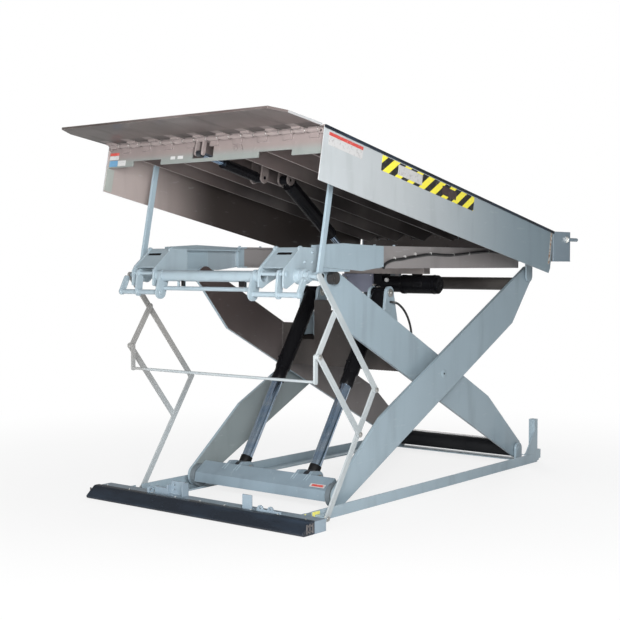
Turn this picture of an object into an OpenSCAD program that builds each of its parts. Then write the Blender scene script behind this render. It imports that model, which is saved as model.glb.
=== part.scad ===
// Loading dock lift: a scissor lift that carries a dock leveller.
// The lift stands raised, with the leveller's deck tilted up and its lip out.
// X is across the lift, Y runs from the bumper (front) to the dock side (rear), Z is up.
// Distances along Y in the sizes below are taken from the front face of the bumper.

/* [Whole lift] */
// Width over the bumper and over the deck's side seals
overall_w = 1829; // [1700:1:2100]
// Length of the base on the floor
base_len = 3240; // [3240:1:3400]

/* [Scissor] */
// Distance between the end pivots of an arm
leg_len = 2803; // [2760:1:2820]
// Slope of the arms' pivot lines as raised, in degrees
raise_angle = 29.25; // [28.5:0.05:29.6]
// Distance from the base's rear end to the rear pivots
rear_pivot_inset = 60; // [56:1:64]
// Height of the lower pivots over the floor
pivot_z = 90; // [88:1:96]
// Width of an arm plate between its long edges
arm_w = 264; // [240:1:270]
// Thickness of an arm plate
arm_t = 25; // [20:1:28]
// Angle between an arm's long edges and its pivot line, in degrees
arm_skew = 3.65; // [3.4:0.05:3.9]
// Radius of an arm's round ends
arm_end_r = 72; // [66:1:73]
// Distance from the middle of an arm to the bend near its lower end
bend_low = 800; // [760:5:830]
// Distance from the middle of an arm to the bend near its upper end
bend_high = 1035; // [1000:5:1070]
// Half distance between the outer faces of the outer arms
outer_x = 629; // [625:1:631]
// Half distance between the outer faces of the inner arms
inner_x = 546; // [542:1:550]
// Radius of the pivot pins
pin_r = 25; // [20:0.5:28]
// Radius of the rollers at the upper ends
high_roller_r = 40; // [36:1:42]

/* [Base] */
// Height of the rubber bumper
bumper_h = 78; // [72:1:80]
// Depth of the rubber bumper
bumper_d = 110; // [100:1:115]
// Height of the steel sill behind the bumper
sill_h = 72; // [68:1:74]
// Rear face of the front sill
sill_rear = 218; // [212:1:222]
// Half distance between the outer faces of the rails
rail_x = 729; // [727:1:735]
// Height of the rails
rail_h = 70; // [65:1:72]
// Width of the rails' lower flange
rail_flange_w = 100; // [98:1:102]
// Steel thickness of the rails
rail_t = 8; // [6:0.5:9]
// Height of the rear posts
post_h = 338; // [300:1:340]
// Width of the rear posts
post_w = 50; // [44:1:52]
// Distance of the anchor holes from the middle of the base
anchor_y = 1358; // [1350:1:1360]
// Radius of the anchor holes
anchor_r = 11; // [8:0.5:12]

/* [Upper frame] */
// Half distance between the outer faces of the side beams
beam_x = 630; // [627:1:632]
// Width of the side beams' channel
beam_w = 38; // [34:1:40]
// Height of the top of the side beams
beam_top = 1668; // [1660:1:1670]
// Height of the side beams
beam_h = 148; // [140:1:150]
// Steel thickness of the side beams
beam_t = 10; // [7:0.5:12]
// Front end of the side beams
beam_front = 450; // [440:1:460]
// Height of the dock-side housing
housing_h = 229; // [215:1:229]
// Depth of the dock-side housing
housing_d = 282; // [270:1:300]

/* [Deck] */
// Tilt of the deck as raised, in degrees
deck_tilt = 10.83; // [10.4:0.01:10.9]
// Length of the deck plate
deck_len = 2919; // [2900:1:2940]
// Height of the deck's top at its rear edge
deck_z = 1800; // [1800:1:1806]
// Distance of the deck's rear edge from the bumper's front face
deck_rear = 3079; // [3074:1:3082]
// Thickness of the deck plate
deck_t = 8; // [6:0.5:9]
// Depth of the side skirts, over the deck plate
skirt_h = 326; // [300:1:330]
// Thickness of the side skirts
skirt_t = 6; // [4:0.5:8]
// Depth of the ribs under the deck
rib_h = 105; // [95:1:106]
// Thickness of the ribs
rib_t = 8; // [6:0.5:9]
// Depth of the header under the deck's front edge
header_h = 164; // [158:1:166]
// Depth of the header over the front brackets
header_notch_h = 128; // [120:1:132]
// Width of a knuckle plate of the lip hinge
knuckle_w = 68; // [60:1:72]

/* [Lip] */
// Length of the lip from its hinge
lip_len = 446; // [420:1:450]
// Thickness of the lip
lip_t = 14; // [12:0.5:16]
// Droop of the lip against the deck, in degrees
lip_droop = 2.9; // [2:0.1:4]
// Radius of the lip hinge's knuckles
knuckle_r = 17; // [15:0.5:17]

/* [Cylinders] */
// Radius of the main cylinders' barrels
main_barrel_r = 54; // [48:1:55]
// Radius of the main cylinders' rods
main_rod_r = 37; // [30:1:40]
// Distance of the main cylinders from the middle
main_x = 300; // [296:1:304]

/* [Guard linkage] */
// Width of the guard links
link_w = 38; // [32:1:38]
// Thickness of the guard links
link_t = 12; // [8:0.5:12]
// Length of the guard's lower links between their end pivots
guard_low_len = 880; // [878:1:882]
// Length of the guard's upper links between their end pivots
guard_high_len = 919; // [917:1:921]

/* [Hidden] */

paint = [0.62, 0.68, 0.71];
dark_paint = [0.26, 0.25, 0.25];
black_paint = [0.05, 0.05, 0.06];
rubber_black = [0.07, 0.07, 0.08];
chrome_tone = [0.75, 0.8, 0.86];

// Running clearance of a pin in its hole, and of a part beside its neighbour
pin_fit = 0.1;
seat_gap = 0.3;

half_w = overall_w / 2;
mid_y = base_len / 2;

// Pivots of the scissor, as distances from the front face and heights
leg_half = leg_len / 2;
rear_y = base_len - rear_pivot_inset;
run = leg_len * cos(raise_angle);
rise = leg_len * sin(raise_angle);
front_y = rear_y - run;
top_z = pivot_z + rise;
centre = [rear_y - run / 2, pivot_z + rise / 2];

// Point p turned by a degrees about the origin of a plane
function turned(p, a) = [p.x * cos(a) - p.y * sin(a), p.x * sin(a) + p.y * cos(a)];
// Points where the two tangents from point k touch a circle of radius r round c
function tangent(k, c, r, side) =
    let (d = norm(k - c), s = r - 1.5, a = atan2(k.y - c.y, k.x - c.x) + side * acos(s / d))
    c + s * [cos(a), sin(a)];
// Length of the line from a to b, and its slope in degrees
function slope(a, b) = atan2(b.y - a.y, b.x - a.x);

// Places a drawing whose x is the distance from the front face and whose y is the
// height, as a plate from x0 to x0 + t across the lift
module plate(x0, t) {
    translate([x0, -mid_y, 0]) rotate([90, 0, 90]) linear_extrude(t) children();
}

// A round bar across the lift, from x0 to x1, round point p
module cross_bar(p, r, x0, x1) {
    translate([x0, p.x - mid_y, p.y]) rotate([0, 90, 0]) cylinder(h = x1 - x0, r = r, $fn = 48);
}

module both_sides() {
    children();
    mirror([1, 0, 0]) children();
}

// A bar with round ends between points a and b, w wide
module link_shape(a, b, w) {
    translate(a) rotate(slope(a, b)) translate([0, -w / 2]) square([norm(b - a), w]);
    translate(a) circle(d = w, $fn = 32);
    translate(b) circle(d = w, $fn = 32);
}

// A row of points turned into an upright box from y0 to y1 and z0 to z1
module box(x0, x1, y0, y1, z0, z1) {
    translate([x0, y0 - mid_y, z0]) cube([x1 - x0, y1 - y0, z1 - z0]);
}

// Base

// Section of the bumper: a flat back, a face that leans back, and rounded corners
module bumper_section() {
    nose_r = 13;
    top_r = 22;
    lean = 40;
    polygon([
        for (a = [270:-15:180 - lean + 5]) [nose_r, nose_r] + nose_r * [cos(a), sin(a)],
        for (a = [180 - lean:-10:90])
            [78, bumper_h - top_r] + top_r * [cos(a), sin(a)],
        [bumper_d, bumper_h], [bumper_d, 0]
    ]);
}

module bumper() {
    color(rubber_black) plate(-half_w, overall_w) bumper_section();
}

sill_t = 8;
module front_sill() {
    color(paint) {
        difference() {
            box(-half_w, half_w, bumper_d, sill_rear, 0, sill_h);
            box(-half_w + sill_t, half_w - sill_t, bumper_d + sill_t, sill_rear + 1, -1,
                sill_h - sill_t);
        }
        // Upright stop, and the low plate with two rounded lugs beside it
        sill_mid = (bumper_d + sill_rear) / 2;
        box(336, 410, sill_mid - 25, sill_mid - 17, sill_h, sill_h + 86);
        box(336, 344, sill_mid - 17, sill_mid + 20, sill_h, sill_h + 60);
        box(452, 640, sill_mid - 30, sill_mid - 20, sill_h, sill_h + 14);
        for (x = [480, 560]) translate([x, sill_mid - 30 - mid_y, sill_h + 14])
            rotate([-90, 0, 0]) difference() {
                cylinder(h = 10, r = 22, $fn = 32);
                translate([0, -6, -1]) cylinder(h = 12, r = 7, $fn = 24);
                translate([-30, 0.5, -1]) cube([60, 30, 12]);
            }
        // Catch for the guard on the left: a tall drilled plate, a bar and an eye
        difference() {
            box(-329, -186, sill_rear - 14, sill_rear - 4, sill_h, sill_h + 82);
            for (x = [-300, -215], z = [28, 58])
                translate([x, sill_rear - 20 - mid_y, sill_h + z]) rotate([-90, 0, 0])
                    cylinder(h = 20, r = 7, $fn = 24);
        }
        box(-194, -186, sill_rear - 60, sill_rear - 14, sill_h, sill_h + 82);
        box(-440, -329, sill_rear - 50, sill_rear - 34, sill_h, sill_h + 38);
        box(-337, -329, sill_rear - 50, sill_rear - 4, sill_h, sill_h + 60);
        difference() {
            plate(-458, 14) union() {
                translate([sill_mid - 30, sill_h + 22]) circle(24, $fn = 32);
                translate([sill_mid - 54, sill_h]) square([48, 22]);
            }
            cross_bar([sill_mid - 30, sill_h + 22], 10, -459, -443);
        }
        box(-444, -430, sill_rear - 50, sill_rear - 20, sill_h, sill_h + 38);
    }
}

flange_t = 12;
anchor_x = rail_x - rail_t - 20;
low_roller_r = pivot_z - flange_t;
arm_in = outer_x - arm_t;
cross_end = arm_in - 41;
track_end = front_y + 166;
module rails() {
    notch = 35;
    low_start = sill_rear + 46;
    low_end = sill_rear + 104;
    color(paint) both_sides() difference() {
        union() {
            box(rail_x - rail_t, rail_x, low_end + seat_gap, base_len - 53, 0, rail_h);
            box(rail_x - rail_flange_w, rail_x, low_end + seat_gap, base_len - 53, 0, flange_t);
            // Wide part of the flange, which the lower rollers run on
            box(cross_end - 7, rail_x - rail_flange_w, low_end + seat_gap, track_end, 0,
                flange_t);
            // Low piece let in at the front, which the guard bar comes down over
            box(rail_x - rail_t, rail_x, low_start, low_end, 0, rail_h - notch);
            box(cross_end - 7, rail_x, low_start, low_end, 0, flange_t);
            // Short end piece welded to the sill
            box(rail_x - rail_t, rail_x, sill_rear, low_start - seat_gap, 0, rail_h);
            box(cross_end - 7, rail_x, sill_rear, low_start - seat_gap, 0, flange_t);
        }
        for (s = [-1, 1])
            translate([anchor_x, s * anchor_y, -1])
                cylinder(h = flange_t + 2, r = anchor_r, $fn = 32);
    }
}

module rear_sill() {
    in_x = rail_x - rail_flange_w;
    color(paint) {
        box(-in_x, in_x, base_len - 110, base_len - 8, 0, 8);
        // Stubs of a square tube behind the posts
        both_sides() difference() {
            box(in_x + 20, rail_x, base_len - 53, base_len, 25, 95);
            box(in_x + 19, rail_x - 6, base_len - 47, base_len - 6, 31, 89);
        }
        both_sides() box(in_x, rail_x - 10, base_len - 53, base_len - 8, 8, 25);
        // Lugs and pins that hold the inner arms' lower ends
        both_sides() {
            plate(inner_x + 6, 20) union() {
                translate([rear_y, pivot_z]) circle(45, $fn = 48);
                translate([rear_y - 45, 8]) square([90, pivot_z - 8]);
            }
            cross_bar([rear_y, pivot_z], pin_r, inner_x - arm_t - 8, inner_x + 30);
        }
    }
}

// Upright tubes at the rear corners, each with a gusset to its rail
module rear_posts() {
    gusset_run = 150;
    color(paint) both_sides() {
        difference() {
            box(rail_x - post_w, rail_x, base_len - 53 - post_w, base_len - 53, rail_h, post_h);
            box(rail_x - post_w + 5, rail_x - 5, base_len - 48 - post_w, base_len - 58,
                rail_h - 1, post_h + 1);
        }
        plate(rail_x - rail_t, rail_t) polygon([
            [base_len - 53 - post_w, rail_h],
            [base_len - 53 - post_w - gusset_run, rail_h],
            [base_len - 53 - post_w, rail_h + 175]
        ]);
    }
}

// Guard linkage points, as raised
guard_foot = [387, 26];
guard_top = [296, top_z + 15];
prop_pin = [350, top_z + 15];
guard_span = norm(guard_top - guard_foot);
guard_foot_angle = acos((pow(guard_span, 2) + pow(guard_low_len, 2) - pow(guard_high_len, 2))
    / (2 * guard_span * guard_low_len));
guard_elbow = guard_foot + guard_low_len
    * turned((guard_top - guard_foot) / guard_span, -guard_foot_angle);
short_len = 314;
long_len = 645;
guard_upper = guard_elbow + (guard_top - guard_elbow) * long_len / guard_high_len;
guard_lower = guard_elbow + (guard_foot - guard_elbow) * short_len / guard_low_len;
guard_nose = guard_upper + guard_lower - guard_elbow;
hanger_len = 150;
guard_pin_r = 9;
// Planes of the links, from the middle of the lift
plane_a = 797;
plane_b = plane_a - link_t - 2;
plane_c = plane_b - link_t - 2;
prop_len = 742;
prop_lean = 11.6;
prop_x = plane_c - 21;

module guard_feet() {
    color(paint) both_sides() {
        box(rail_x, rail_x + 24, guard_foot.x - 35, guard_foot.x + 35, 0, guard_foot.y + 22);
        cross_bar(guard_foot, guard_pin_r, rail_x + 20, plane_a + 6);
    }
}

// Scissor arms

// Outline of an arm: round ends on the pivot line, long edges set at a skew, and a
// tapered nose beyond each bend
module arm_outline() {
    low = [-leg_half, 0];
    high = [leg_half, 0];
    sag = -6;
    bend_a = turned([-bend_low, arm_w / 2 + sag], -arm_skew);
    bend_b = turned([bend_high, -arm_w / 2 + sag], -arm_skew);
    polygon([
        tangent(bend_b, low, arm_end_r, -1), bend_b,
        tangent(bend_b, high, arm_end_r, 1),
        tangent(bend_a, high, arm_end_r, -1), bend_a,
        tangent(bend_a, low, arm_end_r, 1)
    ]);
    translate(low) circle(arm_end_r, $fn = 64);
    translate(high) circle(arm_end_r, $fn = 64);
}

// Outer arms run from the front rollers up to the rear pivots
module outer_arms() {
    boss_r = 55;
    color(paint) both_sides() difference() {
        union() {
            plate(arm_in, arm_t) translate(centre) rotate(raise_angle) arm_outline();
            cross_bar(centre, boss_r, inner_x + 1, arm_in);
            cross_bar(centre, pin_r, inner_x - arm_t - 12, inner_x + 1);
        }
        cross_bar([rear_y, top_z], pin_r + pin_fit, arm_in - 1, outer_x + 1);
        cross_bar(centre, 7, outer_x - 30, outer_x + 1);
    }
}

// Inner arms are the same plates, turned to run from the rear pivots up to the front
module inner_arms() {
    color(paint) both_sides() difference() {
        plate(inner_x - arm_t, arm_t)
            translate(centre) mirror([1, 0]) rotate(raise_angle) arm_outline();
        cross_bar(centre, pin_r + pin_fit, inner_x - arm_t - 1, inner_x + 1);
        cross_bar([rear_y, pivot_z], pin_r + pin_fit, inner_x - arm_t - 1, inner_x + 1);
    }
}

// Main cylinders: rods stand on the lower cross beam, barrels hang from the torsion plate
low_foot = [front_y, pivot_z];
rod_foot = low_foot + [126.6, 63.5];
barrel_head = [rear_y - 1535, pivot_z + 1257];
main_slope = slope(rod_foot, barrel_head);
main_len = norm(barrel_head - rod_foot);
barrel_len = 640;
lug_t = 20;

// Tall plate between the inner arms, open where the barrels pass
torsion_y = 1560;
torsion_in = inner_x - arm_t;
module torsion_plate() {
    low_z = 812;
    high_z = 1290;
    depth = 190;
    slot_w = 2 * main_barrel_r + 40;
    color(dark_paint) {
        difference() {
            box(-torsion_in, torsion_in, torsion_y, torsion_y + 12, low_z, high_z);
            both_sides()
                box(main_x - slot_w / 2, main_x + slot_w / 2, torsion_y - 1, torsion_y + 13,
                    low_z + 190, high_z + 1);
            // The outer ends reach only as high as the arms' edges
            both_sides()
                box(main_x + slot_w / 2 - 1, torsion_in + 1, torsion_y - 1, torsion_y + 13, 1120,
                    high_z + 1);
            // Room for the deck cylinder when the lift is down
            box(-80, 80, torsion_y - 1, torsion_y + 13, high_z - 72, high_z + 1);
        }
        box(-torsion_in, torsion_in, torsion_y + 12, torsion_y + depth, low_z, low_z + 12);
        box(-torsion_in, torsion_in, torsion_y + depth - 12, torsion_y + depth, low_z + 12,
            low_z + 220);
    }
}

// Two pairs of tall round lugs that carry the barrels' upper pins
module cylinder_lugs() {
    eye_gap = 2 * main_barrel_r + 12;
    color(paint) both_sides()
        for (x = [main_x - eye_gap / 2 - lug_t, main_x + eye_gap / 2])
            difference() {
                plate(x, lug_t) union() {
                    polygon([
                        barrel_head + [-46, 0], [torsion_y + 12, 1180], [torsion_y + 12, 1032],
                        [torsion_y + 208, 1032], barrel_head + [46, 0]
                    ]);
                    translate(barrel_head) circle(46, $fn = 48);
                }
                cross_bar(barrel_head, 20, x - 1, x + lug_t + 1);
            }
}

// Torque tube between the inner arms, on their lower pivots
module lower_cross_tube() {
    color(black_paint) difference() {
        cross_bar([rear_y, pivot_z], 66, -torsion_in, torsion_in);
        cross_bar([rear_y, pivot_z], 58, -torsion_in - 1, torsion_in + 1);
    }
}

// A hose or a bundle of wires of radius r through a row of points, with soft bends
function unit(v) = v / norm(v);
function bend_point(p, i, t) =
    let (n = len(p) - 1, a = p[max(i - 1, 0)], b = p[i], c = p[min(i + 1, n)],
        d = p[min(i + 2, n)])
    0.5 * (2 * b + (c - a) * t + (2 * a - 5 * b + 4 * c - d) * t * t
        + (3 * b - a - 3 * c + d) * t * t * t);
function soft(p, steps) = [
    for (i = [0:len(p) - 2], k = [0:steps - 1]) bend_point(p, i, k / steps), p[len(p) - 1]];
function course(p, i) = unit(p[min(i + 1, len(p) - 1)] - p[max(i - 1, 0)]);
function hoop(p, i, r, n) =
    let (t = course(p, i), u = unit(cross(t, [1, 0.6, 0.35])), v = cross(t, u))
    [for (k = [0:n - 1]) p[i] + r * (cos(360 * k / n) * u + sin(360 * k / n) * v)];
module hose(points, r, steps) {
    n = 10;
    path = soft([for (q = points) q - [0, mid_y, 0]], steps);
    rings = len(path);
    polyhedron(
        [for (i = [0:rings - 1]) each hoop(path, i, r, n)],
        [
            [for (k = [0:n - 1]) k],
            for (i = [0:rings - 2], k = [0:n - 1])
                [i * n + k, (i + 1) * n + k, (i + 1) * n + (k + 1) % n, i * n + (k + 1) % n],
            [for (k = [n - 1:-1:0]) (rings - 1) * n + k]
        ]);
}

// Short hose that hangs in a loop from the right barrel's outer lug to the torsion plate's back
leg_hose_r = 8;
module leg_hose() {
    side = main_x + main_barrel_r + 6 + lug_t + seat_gap;
    back = torsion_y + 190 + seat_gap;
    color(black_paint) hose([
        [side, 1646, 1284], [side + 9, 1646, 1284], [side + 18, 1647, 1284],
        [side + 48, 1674, 1271], [side + 62, 1732, 1222], [side + 68, 1782, 1148],
        [side + 72, 1806, 1066], [side + 74, 1798, 1008], [side + 75, back + 22, 978],
        [side + 75, back + 10, 976], [side + 75, back, 976]
    ], leg_hose_r, 3);
}

module roller(p, r, x0, x1, axle_from) {
    cross_bar(p, r - seat_gap, x0, x1);
    cross_bar(p, pin_r, axle_from, x1 + 4);
}

module upper_rollers() {
    color(dark_paint) both_sides()
        roller([front_y, top_z], high_roller_r, inner_x + 4, inner_x + 50, inner_x);
}

module lower_rollers() {
    color(dark_paint) both_sides() {
        cross_bar(low_foot, low_roller_r - seat_gap, cross_end + 3, arm_in - 3);
        cross_bar(low_foot, pin_r, cross_end, arm_in);
    }
}

// Box beam between the lower rollers, with a gusseted clevis for each main rod
function at_foot(p) = [for (q = p) low_foot + q];
module lower_cross_beam() {
    wall = 12;
    color(paint) {
        difference() {
            plate(-cross_end, 2 * cross_end)
                polygon(at_foot([[-74, -33], [-62, 32], [36, 100], [66, 60], [11, -30]]));
            plate(-cross_end + wall, 2 * (cross_end - wall))
                polygon(at_foot([[-65, -24], [-55, 27], [34, 88], [56, 59], [6, -22]]));
        }
        both_sides()
            for (x = [main_x - main_rod_r - 26, main_x + main_rod_r + 6])
                difference() {
                    plate(x, lug_t) union() {
                        polygon(at_foot([
                            [-14, 65.5], [36, 100], [66, 60], [50, 32], [142, 22], [150, 100],
                            [118, 112], [62, 118]
                        ]));
                        translate(rod_foot) circle(47, $fn = 48);
                    }
                    cross_bar(rod_foot, 20 + pin_fit, x - 1, x + lug_t + 1);
                }
    }
}

// Torque tube between the outer arms near their upper ends
module upper_cross_tube() {
    at = [rear_y - 140, top_z - 63];
    color(black_paint) difference() {
        cross_bar(at, 50, -arm_in, arm_in);
        cross_bar(at, 43, -arm_in - 1, arm_in + 1);
    }
}

// Upper frame

housing_low = deck_z - housing_h;
housing_front = deck_rear + 13;
track_front = front_y - 420;
track_rear = front_y + 110;
front_step = 1205;
channel_in = inner_x + 16;
channel_out = channel_in + beam_w;
low_rear = beam_top - beam_h;
module side_beams() {
    color(paint) both_sides() {
        // Rear part: a channel that is open towards the middle
        difference() {
            box(channel_in, channel_out, front_step - 60, housing_front, low_rear, beam_top);
            box(channel_in - 1, channel_out - beam_t, front_step - 61, housing_front + 1,
                low_rear + beam_t, beam_top - beam_t);
        }
        // Spacer and front plate, which is deeper and rises towards the front
        box(channel_out, beam_x - 11, front_step - 60, front_step - 10, low_rear + 10,
            beam_top - 20);
        plate(beam_x - 11, 11) polygon([
            [beam_front, 1534], [front_step - 240, 1504], [front_step, low_rear + 10],
            [front_step, beam_top - 3], [beam_front + 300, beam_top + 10],
            [beam_front, beam_top - 6]
        ]);
        box(channel_in, beam_x - 11, beam_front, front_step - 60, beam_top - 30, beam_top - 20);
        // Track over the inner arms' rollers
        box(inner_x + 2, beam_x - 11, track_front, track_rear, top_z + high_roller_r,
            top_z + high_roller_r + 14);
        box(beam_x - 25, beam_x - 11, track_front + 45, track_rear, top_z + high_roller_r + 14,
            beam_top - 30);
        // Hanger and pin for the outer arm's upper end
        plate(outer_x + 7, 16) union() {
            translate([rear_y, top_z]) circle(46, $fn = 48);
            translate([rear_y - 46, top_z]) square([92, housing_low - top_z]);
        }
        cross_bar([rear_y, top_z], pin_r, arm_in - 6, outer_x + 7 + 18);
    }
}

// Cross channels: one carries the deck cylinder's foot, the other the power unit
deck_foot = [rear_y - 1480, 1582];
deck_head = [962, 2108];
deck_cyl_slope = slope(deck_foot, deck_head);
deck_cyl_len = norm(deck_head - deck_foot);
unit_y = rear_y - 1075;
unit_z = 1401;
carrier_low = 1477;
ch_low = low_rear + beam_t;
ch_top = ch_low + 16;
module cross_channel(y) {
    in_x = channel_out - beam_t;
    difference() {
        box(-in_x, in_x, y - 45, y + 45, ch_low, ch_top);
        box(-channel_in + 5, channel_in - 5, y - 37, y + 37, ch_low - 1, ch_top - 8);
    }
}
module cross_channels() {
    color(paint) {
        cross_channel(deck_foot.x);
        for (x = [-56, 40]) difference() {
            plate(x, 16) union() {
                translate([deck_foot.x - 36, ch_top]) square([72, deck_foot.y - ch_top]);
                translate(deck_foot) circle(36, $fn = 48);
            }
            cross_bar(deck_foot, 14 + pin_fit, x - 1, x + 17);
        }
        cross_channel(unit_y);
        difference() {
            box(-330, 389, unit_y - 40, unit_y + 40, carrier_low, ch_low);
            box(-322, 381, unit_y - 32, unit_y + 32, carrier_low + 8, ch_low + 1);
        }
    }
}

// Bundle of hoses and wires clipped along the right beam
loom_r = 10;
module beam_loom() {
    y0 = front_step;
    loom_x = channel_out + loom_r + seat_gap;
    color(black_paint) hose([
        [loom_x + 6, y0 + 17, low_rear + 2], [loom_x, y0 + 50, low_rear + 30],
        [loom_x, y0 + 135, low_rear + 54], [loom_x, y0 + 240, low_rear + 62],
        [loom_x, y0 + 400, low_rear + 80], [loom_x, y0 + 600, low_rear + 96],
        [loom_x, y0 + 860, low_rear + 92], [loom_x, y0 + 1180, low_rear + 112],
        [loom_x, y0 + 1400, low_rear + 122], [loom_x, y0 + 1650, low_rear + 116],
        [loom_x, housing_front - 2, low_rear + 118]
    ], loom_r, 4);
}

// Housing on the dock side: a short platform that the deck hinges on
hinge_point = [deck_rear - 9, deck_z - 30];
hinge_pin_r = 7;
ear_t = 12;
module dock_housing() {
    hw = half_w - 14;
    plate_t = 8;
    z0 = housing_low;
    y1 = housing_front + housing_d;
    color(paint) {
        difference() {
            box(-hw, hw, housing_front, y1, z0, deck_z);
            box(-hw + plate_t, hw - plate_t, housing_front + plate_t, y1 - plate_t,
                z0 + plate_t, deck_z - plate_t);
        }
        // Ears that carry the deck's hinge pins
        for (i = [-2:2], x = [i * 340 - 42 - ear_t, i * 340 + 42])
            difference() {
                plate(x, ear_t) union() {
                    translate(hinge_point) circle(18, $fn = 32);
                    translate(hinge_point + [0, -18])
                        square([housing_front - hinge_point.x, 36]);
                }
                cross_bar(hinge_point, hinge_pin_r + pin_fit, x - 1, x + ear_t + 1);
            }
        // Locating pins on the side plates
        both_sides() translate([hw + 14, y1 - 70 - mid_y, deck_z - 60]) rotate([-90, 0, 0])
            cylinder(h = 150, r = 14, $fn = 32);
    }
}

// Front brackets: side plates with round ears, a sloping cover with a slot, and keepers
bracket_t = 12;
bracket_in = 440;
bracket_out = beam_x + bracket_t;
tube_at = [205, top_z + 12];
tube_r = 35;
keeper_low = [172, 1366];
module bracket_side() {
    polygon([
        [beam_front + 20, 1646], [338, 1648], [300, 1630], [182, top_z + 76],
        [160, top_z + 44], [158, top_z - 50], [190, top_z - 58], [256, top_z - 24],
        [beam_front + 20, 1516]
    ]);
    translate([322, 1636]) circle(20, $fn = 32);
}
module keeper(x, top, width) {
    plate(x, 14) link_shape(top, keeper_low, width);
}
module front_brackets() {
    in_w = bracket_out - bracket_in - 2 * bracket_t;
    stub_from = bracket_out;
    color(paint) both_sides() {
        difference() {
            union() {
                plate(bracket_in, bracket_t) bracket_side();
                plate(bracket_out - bracket_t, bracket_t) bracket_side();
                keeper(bracket_in - 56, tube_at, 84);
            }
            cross_bar(tube_at, tube_r + seat_gap, bracket_in - 60, bracket_in + bracket_t + 1);
        }
        // Sloping cover with a slot near its top
        difference() {
            plate(bracket_in + bracket_t, in_w) polygon([
                [338, 1648], [326, 1646], [180, 1527], [188, 1521], [334, 1637], [344, 1640]
            ]);
            translate([bracket_in + 60, 292 - mid_y, 1610]) rotate([39, 0, 0])
                translate([0, -9, -30]) cube([90, 18, 60]);
        }
        // Cross pin under the cover, inner keeper and the bar that joins the keepers
        cross_bar([186, top_z + 28], 11, bracket_in + bracket_t, bracket_out - bracket_t);
        keeper(bracket_out - 56, [186, top_z + 28], 54);
        cross_bar(keeper_low, 16, bracket_in - 62, bracket_out + 114);
        keeper(bracket_out + 100, [215, 1450], 42);
        // Stub tube with rings for the guard's upper link, and the prop's stub
        cross_bar(guard_top, 46, stub_from, stub_from + 38);
        cross_bar(guard_top, 40, stub_from + 38, stub_from + 52);
        cross_bar(guard_top, 46, stub_from + 52, stub_from + 66);
        cross_bar(guard_top, 32, stub_from + 66, stub_from + 92);
        cross_bar(guard_top, 14, stub_from + 92, plane_a - 8);
        cross_bar(prop_pin, 26, stub_from, prop_x - 4);
        cross_bar(prop_pin, 14, prop_x - 4, prop_x + 20);
    }
}

// Tube and rod across the front between the brackets, tied by two short plates
module front_tube() {
    rod_at = [205, 1392];
    color(paint) {
        difference() {
            cross_bar(tube_at, tube_r, -bracket_in - bracket_t, bracket_in + bracket_t);
            cross_bar(tube_at, tube_r - 6, -bracket_in - bracket_t - 1,
                bracket_in + bracket_t + 1);
        }
        cross_bar(rod_at, 13.5, -bracket_in + 57, bracket_in - 57);
        for (x = [-264, 300]) {
            box(x, x + 8, rod_at.x - 9, rod_at.x + 9, rod_at.y, tube_at.y - tube_r + 4);
            box(x + 50, x + 58, rod_at.x - 9, rod_at.x + 9, rod_at.y, tube_at.y - tube_r + 4);
        }
    }
}

// Power unit across the frame, hung from its carrier: motor, pump block and tank
module motor() {
    clamp_x = 184;
    color(black_paint) {
        cross_bar([unit_y, unit_z], 60, 28, clamp_x);
        cross_bar([unit_y, unit_z], 71, clamp_x, clamp_x + 12);
        cross_bar([unit_y, unit_z], 68, clamp_x + 12, 484);
        cross_bar([unit_y, unit_z], 52, 484, 500);
        box(270, 340, unit_y - 18, unit_y + 18, unit_z + 60, carrier_low);
    }
}
module pump() {
    color(black_paint) box(-45, 28, unit_y - 55, unit_y + 55, unit_z - 55, carrier_low);
}
module reservoir() {
    color([0.5, 0.48, 0.55])
        box(-324, -45, unit_y - 75, unit_y + 75, unit_z - 62, carrier_low);
}

lip_cyl_x = -51;

// Deck. It is drawn level with its rear edge at the origin and then tilted up.
module on_deck() {
    translate([0, deck_rear - mid_y, deck_z]) rotate([-deck_tilt, 0, 0]) children();
}
module deck_plate_at(x0, t) {
    on_deck() translate([x0, 0, 0]) rotate([90, 0, 90]) linear_extrude(t) children();
}
seal_t = 8;
skirt_x = half_w - seal_t;

module deck_plate() {
    color(paint) on_deck()
        translate([-skirt_x, -deck_len, -deck_t]) cube([2 * skirt_x, deck_len, deck_t]);
}

module deck_skirts() {
    color(paint) both_sides()
        deck_plate_at(skirt_x - skirt_t, skirt_t) polygon([
            [0, -deck_t], [-deck_len, -deck_t], [-deck_len, -skirt_h],
            [-18, -skirt_h], [0, -skirt_h + 40]
        ]);
}

// The lip's hinge: pin and knuckles
lip_pin_r = 11;
lip_pin_z = -deck_t - knuckle_r - 2;
lip_pin = turned([-deck_len - 6, lip_pin_z], -deck_tilt) + [deck_rear, deck_z];
lip_head = turned([-deck_len + 568, -132.1], -deck_tilt) + [deck_rear, deck_z];
lip_angle = deck_tilt - lip_droop;
knuckle_count = 9;
knuckle_pitch = (2 * half_w - 60) / knuckle_count;
function deck_knuckle_x(i) = -half_w + 30 + (i + 0.5) * knuckle_pitch;

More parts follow.
